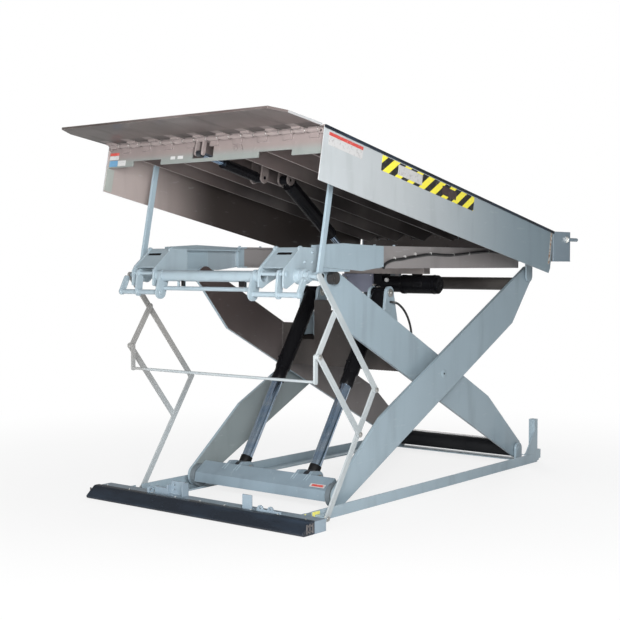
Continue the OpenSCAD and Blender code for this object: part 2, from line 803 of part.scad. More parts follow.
header_t = 12;
header_y = -deck_len - 6 + knuckle_r + 3;
module deck_header() {
    in_x = skirt_x - skirt_t;
    lower_end = (bracket_in + bracket_out) / 2 - 129;
    color(paint) on_deck() translate([0, header_y, 0]) rotate([90, 0, 0])
        translate([0, 0, -header_t]) linear_extrude(header_t) difference() {
            translate([-in_x, -header_h]) square([2 * in_x, header_h - deck_t]);
            for (s = [-1, 1])
                translate([s * (bracket_in + bracket_out) / 2 - 130, -header_h - 1])
                    square([260, header_h - header_notch_h + 1]);
            translate([-138, -142]) square([179, 143 - deck_t]);
            // Joints of the bar that closes the window below
            for (x = [-138 - seat_gap, 41])
                translate([x, -header_h - 1]) square([seat_gap, header_h - 141]);
            for (s = [-1, 1])
                translate([s > 0 ? 41 : -lower_end, -header_notch_h])
                    square([lower_end - (s > 0 ? 41 : 138), seat_gap]);
        }
    // Knuckles between the lip's, their plates down the header, and the pin through all
    color(paint) {
        for (i = [0:knuckle_count - 1])
            cross_bar(lip_pin, knuckle_r, deck_knuckle_x(i) + 13,
                deck_knuckle_x(i) + 13 + knuckle_w);
        cross_bar(lip_pin, lip_pin_r, -half_w + 30, half_w - 32);
        on_deck() for (i = [0:knuckle_count - 1]) translate([deck_knuckle_x(i) + 13, 0, 0]) {
            translate([1, -deck_len, -deck_t - 12])
                cube([knuckle_w - 2, header_y + deck_len - seat_gap, 12]);
            translate([1, header_y - 13, lip_pin_z - 46])
                cube([knuckle_w - 2, 13 - seat_gap, 40]);
        }
    }
}

rib_spacing = 268;
module deck_ribs() {
    y0 = header_y + header_t;
    deck_lugs();
    color(dark_paint) for (i = [-2.5:1:2.5])
        deck_plate_at(i * rib_spacing - rib_t / 2, rib_t) polygon([
            [-60, -deck_t], [y0, -deck_t], [y0, -rib_h], [-200, -rib_h]
        ]);
}

// Knuckles and pins of the hinge between deck and housing, deck side
module deck_knuckles() {
    color(paint) for (i = [-2:2]) {
        cross_bar(hinge_point, 14, i * 340 - 38, i * 340 + 38);
        cross_bar(hinge_point, hinge_pin_r, i * 340 - 42 - ear_t, i * 340 + 42 + ear_t);
        deck_plate_at(i * 340 - 36, 72)
            polygon([[-20, -deck_t], [0, -deck_t], [6, -28], [-12, -34]]);
    }
}

// Lugs under the deck for the two small cylinders
deck_lug_t = 12;
module deck_lug(x, at, hole_r) {
    difference() {
        plate(x, deck_lug_t) intersection() {
            union() {
                translate(at) circle(36, $fn = 48);
                translate(at) rotate(-deck_tilt) translate([-34, 0]) square([68, 400]);
            }
            translate([deck_rear, deck_z]) rotate(-deck_tilt)
                translate([-deck_len, -600]) square([deck_len, 600 - deck_t]);
        }
        cross_bar(at, hole_r, x - 1, x + deck_lug_t + 1);
    }
}
module deck_lugs() {
    color(dark_paint) {
        for (x = [-34 - deck_lug_t, 34]) deck_lug(x, deck_head, 14 + pin_fit);
        for (x = [lip_cyl_x - 38 - deck_lug_t, lip_cyl_x + 38])
            deck_lug(x, lip_head, 12 + pin_fit);
    }
}

module side_seals() {
    color(rubber_black) both_sides()
        deck_plate_at(skirt_x, seal_t) translate([-deck_len, -18]) square([deck_len, 18]);
}

// Lip
module on_lip() {
    translate([0, lip_pin.x - mid_y, lip_pin.y]) rotate([-lip_angle, 0, 0]) children();
}

module lip_plate() {
    taper = 60;
    color(paint) on_lip() translate([0, 0, -lip_pin_z - lip_t]) linear_extrude(lip_t)
        polygon([
            [-half_w + 6, -knuckle_r - 4], [-half_w + 6, -lip_len + taper * 2],
            [-half_w + taper, -lip_len], [half_w - taper, -lip_len],
            [half_w - 6, -lip_len + taper * 2], [half_w - 6, -knuckle_r - 4]
        ]);
}

// Fork on the lip's underside that the lip cylinder pushes
lever_t = 12;
module lip_lever() {
    for (x = [lip_cyl_x - 22 - lever_t, lip_cyl_x + 22])
        difference() {
            plate(x, lever_t) union() {
                link_shape(lip_pin, lip_eye, 28);
            }
            cross_bar(lip_pin, lip_pin_r + pin_fit, x - 1, x + lever_t + 1);
        }
}

module lip_knuckles() {
    color(paint) {
        for (i = [0:knuckle_count - 1]) {
            x = -half_w + 30 + i * knuckle_pitch + 13;
            difference() {
                union() {
                    cross_bar(lip_pin, knuckle_r, x, x + knuckle_w);
                    on_lip() translate([x + 1, -52, -lip_pin_z - lip_t - 12])
                        cube([knuckle_w - 2, 44, 12]);
                }
                cross_bar(lip_pin, lip_pin_r + pin_fit, x - 1, x + knuckle_w + 1);
            }
        }
        lip_lever();
    }
}

// Cylinders

module along(p, a, x) {
    translate([x, p.x - mid_y, p.y]) rotate([a - 90, 0, 0]) children();
}

module main_rods() {
    rod_len = main_len - barrel_len + 20;
    color(chrome_tone) both_sides() {
        along(rod_foot, main_slope, main_x) cylinder(h = rod_len, r = main_rod_r, $fn = 48);
        cross_bar(rod_foot, main_rod_r + 4, main_x - main_rod_r - 4, main_x + main_rod_r + 4);
        cross_bar(rod_foot, 20, main_x - main_rod_r - 30, main_x + main_rod_r + 30);
    }
}

module main_barrels() {
    color(black_paint) both_sides() difference() {
        union() {
            along(rod_foot, main_slope, main_x) translate([0, 0, main_len - barrel_len])
                cylinder(h = barrel_len - 22, r = main_barrel_r, $fn = 48);
            cross_bar(barrel_head, 40, main_x - main_barrel_r - 3, main_x + main_barrel_r + 3);
        }
        along(rod_foot, main_slope, main_x)
            translate([0, 0, main_len - barrel_len - 1])
                cylinder(h = barrel_len - 36, r = main_rod_r + 0.5, $fn = 48);
    }
}

// Deck cylinder: its rod stands on the cross channel, its barrel hangs from the deck
deck_rod_r = 22;
module deck_rod() {
    color(chrome_tone) {
        along(deck_foot, deck_cyl_slope, 0) cylinder(h = 560, r = deck_rod_r, $fn = 48);
        cross_bar(deck_foot, 30, -36, 36);
        cross_bar(deck_foot, 14, -60, 60);
    }
}
module deck_barrel() {
    barrel_from = 300;
    barrel_to = deck_cyl_len - 46;
    color(black_paint) difference() {
        union() {
            along(deck_foot, deck_cyl_slope, 0) translate([0, 0, barrel_from])
                cylinder(h = barrel_to - barrel_from, r = 48, $fn = 48);
            along(deck_foot, deck_cyl_slope, 0) translate([0, 0, barrel_to - 10])
                cylinder(h = 46, r = 27, $fn = 48);
            cross_bar(deck_head, 31, -31, 31);
        }
        along(deck_foot, deck_cyl_slope, 0) translate([0, 0, barrel_from - 1])
            cylinder(h = 480, r = deck_rod_r + 3 * pin_fit, $fn = 48);
    }
}
lip_eye = lip_pin + [-20, -90];
lip_cyl_slope = slope(lip_head, lip_eye);
lip_rod_r = 18;
module lip_barrel() {
    color(black_paint) difference() {
        union() {
            along(lip_head, lip_cyl_slope, lip_cyl_x) translate([0, 0, 37])
                cylinder(h = 323, r = 34, $fn = 48);
            along(lip_head, lip_cyl_slope, lip_cyl_x) translate([0, 0, 12])
                cylinder(h = 30, r = 22, $fn = 48);
            cross_bar(lip_head, 29, lip_cyl_x - 33, lip_cyl_x + 33);
            cross_bar(lip_head, 12, lip_cyl_x - 38 - deck_lug_t, lip_cyl_x + 38 + deck_lug_t);
        }
        along(lip_head, lip_cyl_slope, lip_cyl_x) translate([0, 0, 44])
            cylinder(h = 361, r = lip_rod_r + 3 * pin_fit, $fn = 48);
    }
}
module lip_rod() {
    color(chrome_tone) {
        along(lip_head, lip_cyl_slope, lip_cyl_x) translate([0, 0, 150])
            cylinder(h = norm(lip_eye - lip_head) - 150, r = lip_rod_r, $fn = 48);
        cross_bar(lip_eye, 20, lip_cyl_x - 16, lip_cyl_x + 16);
    }
}

// Guard linkage at the front corners

module guard_link(x0, a, b, holes) {
    difference() {
        plate(x0, link_t) link_shape(a, b, link_w);
        for (p = holes) cross_bar(p, guard_pin_r + pin_fit, x0 - 1, x0 + link_t + 1);
    }
}

module guard_lower_links() {
    color(paint) both_sides() {
        guard_link(plane_b, guard_foot, guard_elbow, [guard_foot]);
        cross_bar(guard_elbow, guard_pin_r, plane_b + link_t, plane_a + link_t + 4);
        cross_bar(guard_lower, guard_pin_r, plane_b + link_t, plane_a + link_t + 4);
    }
}
module guard_upper_links() {
    color(paint) both_sides() {
        guard_link(plane_a, guard_elbow, guard_top, [guard_elbow]);
        cross_bar(guard_upper, guard_pin_r, plane_b - 4, plane_a);
    }
}
module guard_short_links() {
    color(paint) both_sides() {
        guard_link(plane_b, guard_upper, guard_nose, [guard_upper]);
        cross_bar(guard_nose, guard_pin_r, plane_c - 4, plane_b);
        cross_bar(guard_nose, guard_pin_r, plane_b + link_t, plane_a + link_t + 4);
    }
}
module guard_inner_links() {
    color(paint) both_sides()
        guard_link(plane_a, guard_lower, guard_nose, [guard_lower, guard_nose]);
}
module guard_bar() {
    bar_at = guard_nose - [0, hanger_len];
    color(paint) {
        both_sides() difference() {
            plate(plane_c, link_t) link_shape(guard_nose, bar_at, 30);
            cross_bar(guard_nose, guard_pin_r + pin_fit, plane_c - 1, plane_c + link_t + 1);
        }
        cross_bar(bar_at, 9, -plane_c, plane_c);
    }
}

// Props that hold the raised deck, pinned to the front brackets' stubs
module deck_props() {
    tip = prop_pin + prop_len * [sin(prop_lean), cos(prop_lean)];
    color(paint) both_sides() difference() {
        plate(prop_x, 16) union() {
            link_shape(prop_pin, tip, 40);
            translate(prop_pin) circle(30, $fn = 48);
        }
        cross_bar(prop_pin, 14 + pin_fit, prop_x - 1, prop_x + 17);
    }
}

bumper();
front_sill();
rails();
rear_sill();
rear_posts();
guard_feet();
inner_arms();
torsion_plate();
cylinder_lugs();
lower_cross_tube();
upper_rollers();
leg_hose();
outer_arms();
lower_cross_beam();
upper_cross_tube();
lower_rollers();
side_beams();
cross_channels();
dock_housing();
front_brackets();
front_tube();
motor();
reservoir();
pump();
beam_loom();
deck_plate();
deck_skirts();
deck_header();
deck_ribs();
deck_knuckles();
side_seals();
lip_plate();
lip_knuckles();
main_rods();
main_barrels();
deck_rod();
deck_barrel();
lip_barrel();
lip_rod();
guard_lower_links();
guard_upper_links();
guard_short_links();
guard_inner_links();
guard_bar();
deck_props();
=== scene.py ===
import math

import bmesh
import bpy
from mathutils import Matrix, Vector


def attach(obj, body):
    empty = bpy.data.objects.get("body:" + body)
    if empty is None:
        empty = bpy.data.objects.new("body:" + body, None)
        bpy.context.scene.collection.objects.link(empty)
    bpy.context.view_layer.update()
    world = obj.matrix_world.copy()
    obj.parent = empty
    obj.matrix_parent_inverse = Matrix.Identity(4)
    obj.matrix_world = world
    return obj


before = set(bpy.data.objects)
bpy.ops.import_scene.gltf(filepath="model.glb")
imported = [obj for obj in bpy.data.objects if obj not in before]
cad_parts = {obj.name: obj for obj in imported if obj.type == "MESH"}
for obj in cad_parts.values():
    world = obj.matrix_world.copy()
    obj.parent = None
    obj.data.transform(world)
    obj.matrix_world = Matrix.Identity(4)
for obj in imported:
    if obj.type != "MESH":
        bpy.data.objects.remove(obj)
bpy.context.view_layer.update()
scene = bpy.context.scene

# Camera
# It stands to the right of the bumper at eye height, and looks slightly down. The turn, the
# tilt and the place are those that fit the photograph's straight edges.
MID_Y = 1.620  # the frame's origin lies this far behind the bumper's front face
eye = Vector((5.0855, -5.2285 - MID_Y, 1.5451))
turn, tilt, lean = (math.radians(a) for a in (38.24, -2.19, 0.08))
focal_pixels, photo_pixels, sensor = 1191.26, 620, 36
look = Vector((-math.sin(turn) * math.cos(tilt), math.cos(turn) * math.cos(tilt), math.sin(tilt)))
level_right = Vector((math.cos(turn), math.sin(turn), 0))
level_up = level_right.cross(look)
right = math.cos(lean) * level_right + math.sin(lean) * level_up
up = -math.sin(lean) * level_right + math.cos(lean) * level_up
lens = bpy.data.cameras.new("camera")
lens.sensor_width = sensor
lens.lens = sensor * focal_pixels / photo_pixels
lens.clip_start, lens.clip_end = 0.1, 200
camera = bpy.data.objects.new("camera", lens)
turned = Matrix((right, up, -look)).transposed()
camera.matrix_world = Matrix.Translation(eye) @ turned.to_4x4()
scene.collection.objects.link(camera)
scene.camera = camera


# Paint on the frame: a light blue-grey enamel, sprayed over welded plate in a thin coat that
# shows slight orange peel, faint runs, and rubbed edges. The finishes of all the pieces are
# made with the two small classes below.
class Level:
    """A number, colour or place that runs over a surface; sums on it add the nodes they need."""

    def __init__(self, finish, socket):
        self.finish, self.socket = finish, socket

    def maths(self, operation, *numbers):
        """A Math node on these numbers, or on this one alone."""
        sockets = dict(enumerate(numbers or (self,)))
        return self.finish.node("Math", dict(operation=operation), sockets)

    def __add__(self, other):
        return self.maths("ADD", self, other)

    def __sub__(self, other):
        return self.maths("SUBTRACT", self, other)

    def __rsub__(self, other):
        return self.maths("SUBTRACT", other, self)

    def __mul__(self, other):
        return self.maths("MULTIPLY", self, other)

    def __abs__(self):
        return self.maths("ABSOLUTE")

    __radd__, __rmul__ = __add__, __mul__

    def over(self, low, high):
        """0 below low, 1 above high, and smooth between them."""
        settings = dict(interpolation_type="SMOOTHSTEP")
        return self.finish.node("MapRange", settings, {0: self, 1: low, 2: high})


class Finish:
    """One material, built up from nodes on Object coordinates."""

    def __init__(self, name, rough=0.5, metal=0.0, coat=0.0):
        self.material = bpy.data.materials.new(name)
        self.material.use_nodes = True
        self.tree = self.material.node_tree
        self.shader = self.tree.nodes["Principled BSDF"]
        for key, value in (("Roughness", rough), ("Metallic", metal), ("Coat Weight", coat)):
            self.shader.inputs[key].default_value = value
        self.place = self.node("TexCoord", {}, {}, "Object")
        self.soft = None

    def node(self, kind, settings, sockets, out=0):
        made = self.tree.nodes.new("ShaderNode" + kind)
        for key, value in settings.items():
            setattr(made, key, value)
        for key, value in sockets.items():
            if isinstance(value, Level):
                self.tree.links.new(value.socket, made.inputs[key])
            else:
                made.inputs[key].default_value = value
        return Level(self, made.outputs[out])

    def axis(self, letter, of=None):
        return self.node("SeparateXYZ", {}, {0: of or self.place}, letter)

    def normal(self):
        return self.node("NewGeometry", {}, {}, "Normal")

    def turned(self, degrees):
        """The place on a piece that was tilted by so much, turned back to level."""
        sockets = {"Vector": self.place, "Angle": math.radians(degrees)}
        return self.node("VectorRotate", dict(rotation_type="X_AXIS"), sockets)

    def speckle(self, scale, detail=3.0, stretch=(1, 1, 1)):
        where = self.node("Mapping", {}, {"Vector": self.place, "Scale": stretch})
        return self.node("TexNoise", {}, {"Vector": where, "Scale": scale, "Detail": detail})

    def blend(self, share, first, second):
        """The first colour where share is 0 and the second where it is 1."""
        return self.node("Mix", dict(data_type="RGBA"), {0: share, 6: first, 7: second}, 2)

    def edges(self, radius):
        """Rounds the sharp edges for the light, and gives a mask of where they are."""
        self.soft = self.node("Bevel", dict(samples=4), {"Radius": radius})
        pair = {0: self.soft, 1: self.normal()}
        dot = self.node("VectorMath", dict(operation="DOT_PRODUCT"), pair, "Value")
        return (1 - dot).over(0.02, 0.25)

    def relief(self, height, depth, strength):
        """Turns a height of 0 to 1 into relief of that depth, over the rounded edges."""
        sockets = {"Height": height, "Distance": depth, "Strength": strength}
        if self.soft:
            sockets["Normal"] = self.soft
        self.soft = self.node("Bump", {}, sockets)

    def done(self, **levels):
        if self.soft:
            levels["Normal"] = self.soft
        for key, value in levels.items():
            socket = self.shader.inputs[key.replace("_", " ")]
            if isinstance(value, Level):
                self.tree.links.new(value.socket, socket)
            else:
                socket.default_value = value
        return self.material


def clouded(f, colour):
    """An even coat of the colour, a little paler in wide clouds."""
    pale = tuple(min(1, c * 1.07) for c in colour[:3]) + (1,)
    return f.blend(f.speckle(1.7, 4).over(0.35, 0.7), colour, pale)


def enamel(name, coat, worn, rough=0.32, grime=0.35):
    """Sprayed enamel, worn to the second colour on edges and in scuffs. coat is the colour in
    the open, or a function that gives the tone all over the piece, painted shade included."""
    f = Finish(name, coat=0.25)
    rubbed = f.edges(0.003)
    tone = coat(f) if callable(coat) else clouded(f, coat)
    runs = f.speckle(9.0, 5, (1, 1, 0.16)).over(0.45, 0.8)
    scuff = f.speckle(38.0, 8, (1, 0.22, 1)).over(0.63, 0.72)
    chips = rubbed * 0.5 * f.speckle(60.0, 6).over(0.4, 0.6)
    tone = f.blend(runs * grime, tone, f.blend(0.5, tone, (0.05, 0.05, 0.05, 1)))
    tone = f.blend(scuff * 0.12 + chips, tone, worn)
    peel = f.speckle(420.0, 2)
    f.relief(peel + scuff * 0.5, 0.0006, 0.35)
    return f.done(Base_Color=tone, Roughness=runs * 0.14 + scuff * 0.2 + rough)


def paint(finish, *names):
    for name in names:
        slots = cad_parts[name].data.materials
        slots.clear()
        slots.append(finish)


GREY = (0.275, 0.350, 0.398, 1)
PALE = (0.60, 0.64, 0.66, 1)
frame_grey = enamel("frame grey enamel", GREY, PALE)
paint(frame_grey, *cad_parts)

# Bumper: a rubber section held between steel angles along the front of the base. Its cut ends
# show three dark grey plies and four small bolts. The deck's side seals are the same rubber.
f = Finish("black rubber")
f.edges(0.006)
# Pale blooming spots on the rubber, tinted blue as a painted sheen.
bloom_and_sheen = f.speckle(6.0, 5, (0.3, 1, 1)).over(0.42, 0.75)
tone = f.blend(bloom_and_sheen * 0.5, (0.010, 0.014, 0.021, 1), (0.030, 0.050, 0.080, 1))
f.relief(f.speckle(150.0, 4), 0.0012, 0.5)
rubber = f.done(Base_Color=tone, Roughness=bloom_and_sheen * 0.25 + 0.26)
paint(rubber, "bumper", "side_seals")


def mottled(name, first, second, grain, span, share=1.0, rough=0.4, coat=0.0, soft=0.0):
    """Plain finish with spots of a second colour. grain is the noise's scale, detail and
    stretch, span the levels between which the spots come up, and share how far they do."""
    f = Finish(name, rough, coat=coat)
    if soft:
        f.edges(soft)
    spots = f.speckle(*grain).over(*span)
    return f.done(Base_Color=f.blend(spots * share, first, second))


def mm(y, z, x=0.0):
    """A point from its distance behind the bumper's face, height, and place across, in mm."""
    return Vector((x / 1000, y / 1000 - MID_Y, z / 1000))


def along(a, b):
    """Matrix that centres an upright shape between a and b, and turns it to lie along them."""
    a, b = Vector(a), Vector(b)
    return Matrix.Translation((a + b) / 2) @ (b - a).to_track_quat("Z", "Y").to_matrix().to_4x4()


def soften(bm, edges, width, rounds=2):
    if width:
        bmesh.ops.bevel(bm, geom=edges, offset=width, offset_type="OFFSET", affect="EDGES",
                        segments=rounds, profile=0.5, material=-1, clamp_overlap=True)


def bar(bm, a, b, radius, sides, soft):
    """Round bar, or a hexagon one of 6 sides, from a to b; soft rounds the rims of its ends."""
    made = bmesh.ops.create_cone(bm, cap_ends=True, segments=sides, radius1=radius,
                                 radius2=radius, depth=(Vector(b) - Vector(a)).length,
                                 matrix=along(a, b))
    ends = [f for f in {f for v in made["verts"] for f in v.link_faces} if len(f.verts) == sides]
    soften(bm, list({e for f in ends for e in f.edges}), soft)


def block(bm, low, high, soft=0.0008):
    """Block between two corners."""
    low, high = Vector(low), Vector(high)
    place = Matrix.Translation((low + high) / 2) @ Matrix.Diagonal((*(high - low), 1))
    made = bmesh.ops.create_cube(bm, size=1, matrix=place)
    soften(bm, list({e for v in made["verts"] for e in v.link_edges}), soft, 1)


def bolt(bm, at, way, size):
    """Hexagon bolt on a washer, in proportion to its thread; way points out of the surface."""
    at, way = Vector(at), Vector(way).normalized()
    bar(bm, at, at + way * size * 0.18, size * 1.05, 20, size * 0.04)
    bar(bm, at + way * size * 0.15, at + way * size * 0.80, size * 0.90, 6, size * 0.07)
    bar(bm, at + way * size * 0.78, at + way * size * 0.86, size * 0.62, 16, size * 0.03)


def both(bm):
    """Adds the mirror image on the other side of the lift."""
    bmesh.ops.mirror(bm, geom=bm.verts[:] + bm.edges[:] + bm.faces[:], axis="X", merge_dist=-1)


def finished(name, bm, body, finish, place=None):
    """Turns the mesh made so far into a piece that rides on its body."""
    if place:
        bmesh.ops.transform(bm, matrix=place, verts=bm.verts)
    bmesh.ops.recalc_face_normals(bm, faces=bm.faces)
    mesh = bpy.data.meshes.new(name)
    bm.to_mesh(mesh)
    bm.free()
    mesh.shade_smooth()
    mesh.set_sharp_from_angle(angle=math.radians(35))
    mesh.materials.append(finish)
    piece = bpy.data.objects.new(name, mesh)
    scene.collection.objects.link(piece)
    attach(piece, body)


RIGHT = (1, 0, 0)
bumper_end = 914.4
ply_grey = mottled("wear strip", (0.085, 0.080, 0.080, 1), (0.13, 0.12, 0.12, 1),
                   (40.0, 5), (0.4, 0.7), rough=0.5, soft=0.002)
bm = bmesh.new()
for front, back in ((33, 45), (60, 70), (86, 98)):
    block(bm, mm(front, 10, bumper_end - 0.9), mm(back, 66, bumper_end + 2.6), 0.001)
for y in (53, 78):
    for z in (22, 54):
        bolt(bm, mm(y, z, bumper_end), RIGHT, 0.006)
both(bm)
finished("bumper_end_strips", bm, "base", ply_grey)

# Sill and rails: folded plate, welded at the corners. Zinc-plated bolts go through the sill's
# top and anchors through the rails' flanges, washers hold the guard's feet, and a bare yellow
# plate is stuck on the right rail, in three pieces round its notch.
f = Finish("zinc fastener", metal=0.85)
f.edges(0.0012)
spots = f.speckle(260.0, 5).over(0.52, 0.74)
zinc = f.done(Base_Color=f.blend(spots * 0.6, (0.50, 0.50, 0.48, 1), (0.26, 0.20, 0.15, 1)),
              Roughness=spots * 0.35 + 0.32)
paint(enamel("sill enamel", (0.215, 0.275, 0.325, 1), PALE), "front_sill")
UP = (0, 0, 1)
bm = bmesh.new()
for x in range(-840, 841, 210):
    bolt(bm, mm(120, 72, x), UP, 0.008)
for x in (-701, 701):
    for y in (262, 2978):
        bolt(bm, mm(y, 12, x), UP, 0.020)
finished("sill_and_anchor_bolts", bm, "base", zinc)


def bead(bm, a, b, radius):
    """Fillet weld from a to b: a low round bead with the ripples of its passes."""
    a, b = Vector(a), Vector(b)
    length, way = (b - a).length, (b - a).normalized()
    ripples = min(90, max(2, int(length / (radius * 1.6))))
    made = bmesh.ops.create_cone(bm, cap_ends=True, segments=8, radius1=radius, radius2=radius,
                                 depth=length, matrix=along(a, b))
    edges = [e for e in {e for v in made["verts"] for e in v.link_edges}
             if abs((e.verts[1].co - e.verts[0].co).normalized().dot(way)) > 0.99]
    made = bmesh.ops.subdivide_edges(bm, edges=edges, cuts=ripples)
    for v in {v for v in made["geom_inner"] if isinstance(v, bmesh.types.BMVert)}:
        run = (v.co - a).dot(way)
        if round(run / length * (ripples + 1)) % 2:
            middle = a + way * run
            v.co = middle + (v.co - middle) * 0.72


bm = bmesh.new()
for a, b, radius in (
        ((219, 13, 632), (219, 13, 720), 0.004), ((220, 14, 719), (220, 68, 719), 0.004),
        ((3028, 72, 676), (3028, 72, 729), 0.0045), ((3080, 72, 679), (3136, 72, 679), 0.004),
        ((2989, 71, 728), (3078, 71, 728), 0.003), ((3136, 9, 550), (3224, 9, 550), 0.0045),
        ((3136, 9, 573.5), (3224, 9, 573.5), 0.0045), ((353, 2, 753), (421, 2, 753), 0.003),
        ((352, 1, 729), (352, 46, 729), 0.003)):
    bead(bm, mm(*a), mm(*b), radius)
both(bm)
bead(bm, mm(158, 72.5, 338), mm(158, 72.5, 408), 0.003)
bead(bm, mm(204, 72.5, -327), mm(204, 72.5, -188), 0.003)
finished("base_weld_beads", bm, "base", frame_grey)
guard_foot = (387, 26)
bm = bmesh.new()
bar(bm, mm(*guard_foot, 801), mm(*guard_foot, 805), 0.014, 20, 0.001)
bar(bm, mm(*guard_foot, 781), mm(*guard_foot, 782.5), 0.016, 20, 0.0005)
both(bm)
finished("guard_foot_washers", bm, "base", zinc)
plate_yellow = mottled("yellow plate", (0.72, 0.68, 0.16, 1), (0.45, 0.43, 0.20, 1),
                       (90.0, 6, (0.3, 1, 1)), (0.55, 0.7), 0.4, coat=0.2)
rail_face = 729.1
bm = bmesh.new()
for front, back, low, high in ((231, 263, 28, 66), (265, 321, 18, 34), (324, 397, 28, 66)):
    block(bm, mm(front, low, rail_face), mm(back, high, rail_face + 0.8), 0.0003)
finished("bare_yellow_plate", bm, "base", plate_yellow)


# Legs: arms cut from plate, in two pairs that turn on a pin at their middle. The inner legs'
# inner faces carry painted shade, a warm dark brown that darkens upwards; the outer legs' inner
# faces carry painted shade that makes them darker than their outer ones, more so higher up.
# Each pin's boss is welded in and capped.
def inner_leg_coat_and_shade(f):
    inside = 1 - abs(f.axis("X")).over(0.522, 0.528)
    height = f.axis("Z").over(0.25, 1.5)
    # painted shade: the inner faces turn a warm dark brown, darker higher up
    brown = f.blend(height, (0.165, 0.150, 0.148, 1), (0.052, 0.037, 0.035, 1))
    return f.blend(inside, clouded(f, GREY), brown)


def shaded_blue(f):
    # painted shade: the outer legs' inner faces are darker, more so higher up
    inside = 1 - abs(f.axis("X")).over(0.606, 0.612)
    height = f.axis("Z").over(0.3, 1.4)
    shade = f.blend(height, (0.19, 0.22, 0.22, 1), (0.10, 0.115, 0.125, 1))
    return f.blend(inside * 0.85, clouded(f, GREY), shade)


def gloss(name, colour, second, rough, shine=0.5):
    """Even enamel on a turned or drawn piece: two close tones in a wide cloud."""
    f = Finish(name)
    f.edges(0.002)
    cloud = f.speckle(3.0, 3).over(0.35, 0.7)
    return f.done(Base_Color=f.blend(cloud, colour, second), Roughness=cloud * 0.06 + rough,
                  Specular_IOR_Level=shine)


def ring_weld(bm, centre, reach, parts, radius):
    """Weld round a boss whose axis lies across the lift, in short straight beads."""
    angles = [math.tau * s / parts for s in range(parts + 1)]
    points = [Vector(centre) + reach * Vector((0, math.cos(a), math.sin(a))) for a in angles]
    for a, b in zip(points, points[1:]):
        bead(bm, a, b, radius)


paint(enamel("inner leg enamel", inner_leg_coat_and_shade, PALE), "inner_arms")
paint(enamel("outer leg enamel", shaded_blue, PALE), "outer_arms")
matt_black = gloss("matt black enamel", (0.004, 0.004, 0.004, 1), (0.008, 0.008, 0.009, 1),
                   0.55, 0.15)
arm_slope = math.radians(29.25)
outer_leg = Matrix.Translation(mm(1957.2, 774.8)) @ Matrix.Rotation(arm_slope, 4, "X")
bm = bmesh.new()
bar(bm, (0.629, 0, 0), (0.6325, 0, 0), 0.030, 32, 0.0012)
both(bm)
finished("scissor_pin_caps", bm, "outer_legs", frame_grey, outer_leg)
# A thin matt black disc on each cap is painted shade that stands for the grease hole.
bm = bmesh.new()
bar(bm, (0.632, 0, 0), (0.6330, 0, 0), 0.008, 20, 0.0003)
both(bm)
finished("scissor_hole_shades", bm, "outer_legs", matt_black, outer_leg)
bm = bmesh.new()
ring_weld(bm, (0.602, 0, 0), 0.056, 24, 0.004)
both(bm)
finished("scissor_boss_welds", bm, "outer_legs", frame_grey, outer_leg)

# Rollers and cross parts of the legs: turned rollers at the free ends, black tubes between the
# arms, and a folded box beam with a clevis for each main rod. The beam carries a bare white
# plate with a red band.
paint(gloss("roller steel", (0.026, 0.025, 0.025, 1), (0.045, 0.043, 0.042, 1), 0.4, 0.3),
      "upper_rollers")
paint(gloss("painted roller", (0.120, 0.145, 0.162, 1), (0.160, 0.190, 0.210, 1), 0.4),
      "lower_rollers")
paint(gloss("dark tube enamel", (0.009, 0.010, 0.012, 1), (0.016, 0.017, 0.019, 1), 0.30, 0.25),
      "lower_cross_tube")
paint(gloss("warm dark tube", (0.040, 0.036, 0.034, 1), (0.060, 0.055, 0.052, 1), 0.35, 0.3),
      "upper_cross_tube")
paint(enamel("cross beam enamel", (0.195, 0.255, 0.300, 1), PALE), "lower_cross_beam")
rod_foot, barrel_head = (861, 153.5), (1645, 1347)  # the main cylinders' pins
rod_x = 300


def pin_cap(bm, pin, x, out, thick, radius, thread):
    """Round cap on a pin's end at x, held by a bolt; out is 1 to the right and -1 to the left."""
    face = mm(*pin, x + out * thick)
    bar(bm, mm(*pin, x), face, radius, 24, 0.001)
    bolt(bm, face, (out, 0, 0), thread)


bm = bmesh.new()
for x in (236.6, 257.4, 342.6, 363.4):
    bead(bm, mm(722, 160, x), mm(769, 189.5, x), 0.0035)
    bead(bm, mm(771, 189, x), mm(800, 151, x), 0.0035)
both(bm)
finished("clevis_weld_beads", bm, "outer_legs", frame_grey)
bm = bmesh.new()
for out in (1, -1):
    pin_cap(bm, rod_foot, rod_x + out * 67.5, out, 3, 0.026, 0.008)
both(bm)
finished("rod_pin_caps", bm, "main_rods", zinc)
plate_white = mottled("clear white plate", (0.50, 0.50, 0.50, 1), (0.24, 0.22, 0.22, 1),
                      (70.0, 6, (0.4, 1, 1)), (0.52, 0.72), 0.6, 0.35, 0.3)
plate_red = mottled("red plate", (0.50, 0.06, 0.05, 1), (0.60, 0.28, 0.24, 1), (80.0, 6),
                    (0.5, 0.7), 0.5, coat=0.2)
beam_slope = math.radians(34.76)
beam_top = Matrix.Translation(mm(734.4, 90)) @ Matrix.Rotation(beam_slope, 4, "X")
bm = bmesh.new()
block(bm, (0.425, -0.022, 0.0715), (0.545, 0.008, 0.0725), 0.0003)
finished("bare_beam_plate", bm, "outer_legs", plate_white, beam_top)
bm = bmesh.new()
block(bm, (0.440, -0.016, 0.0725), (0.530, 0.002, 0.0732), 0.0003)
finished("bare_beam_plate_band", bm, "outer_legs", plate_red, beam_top)

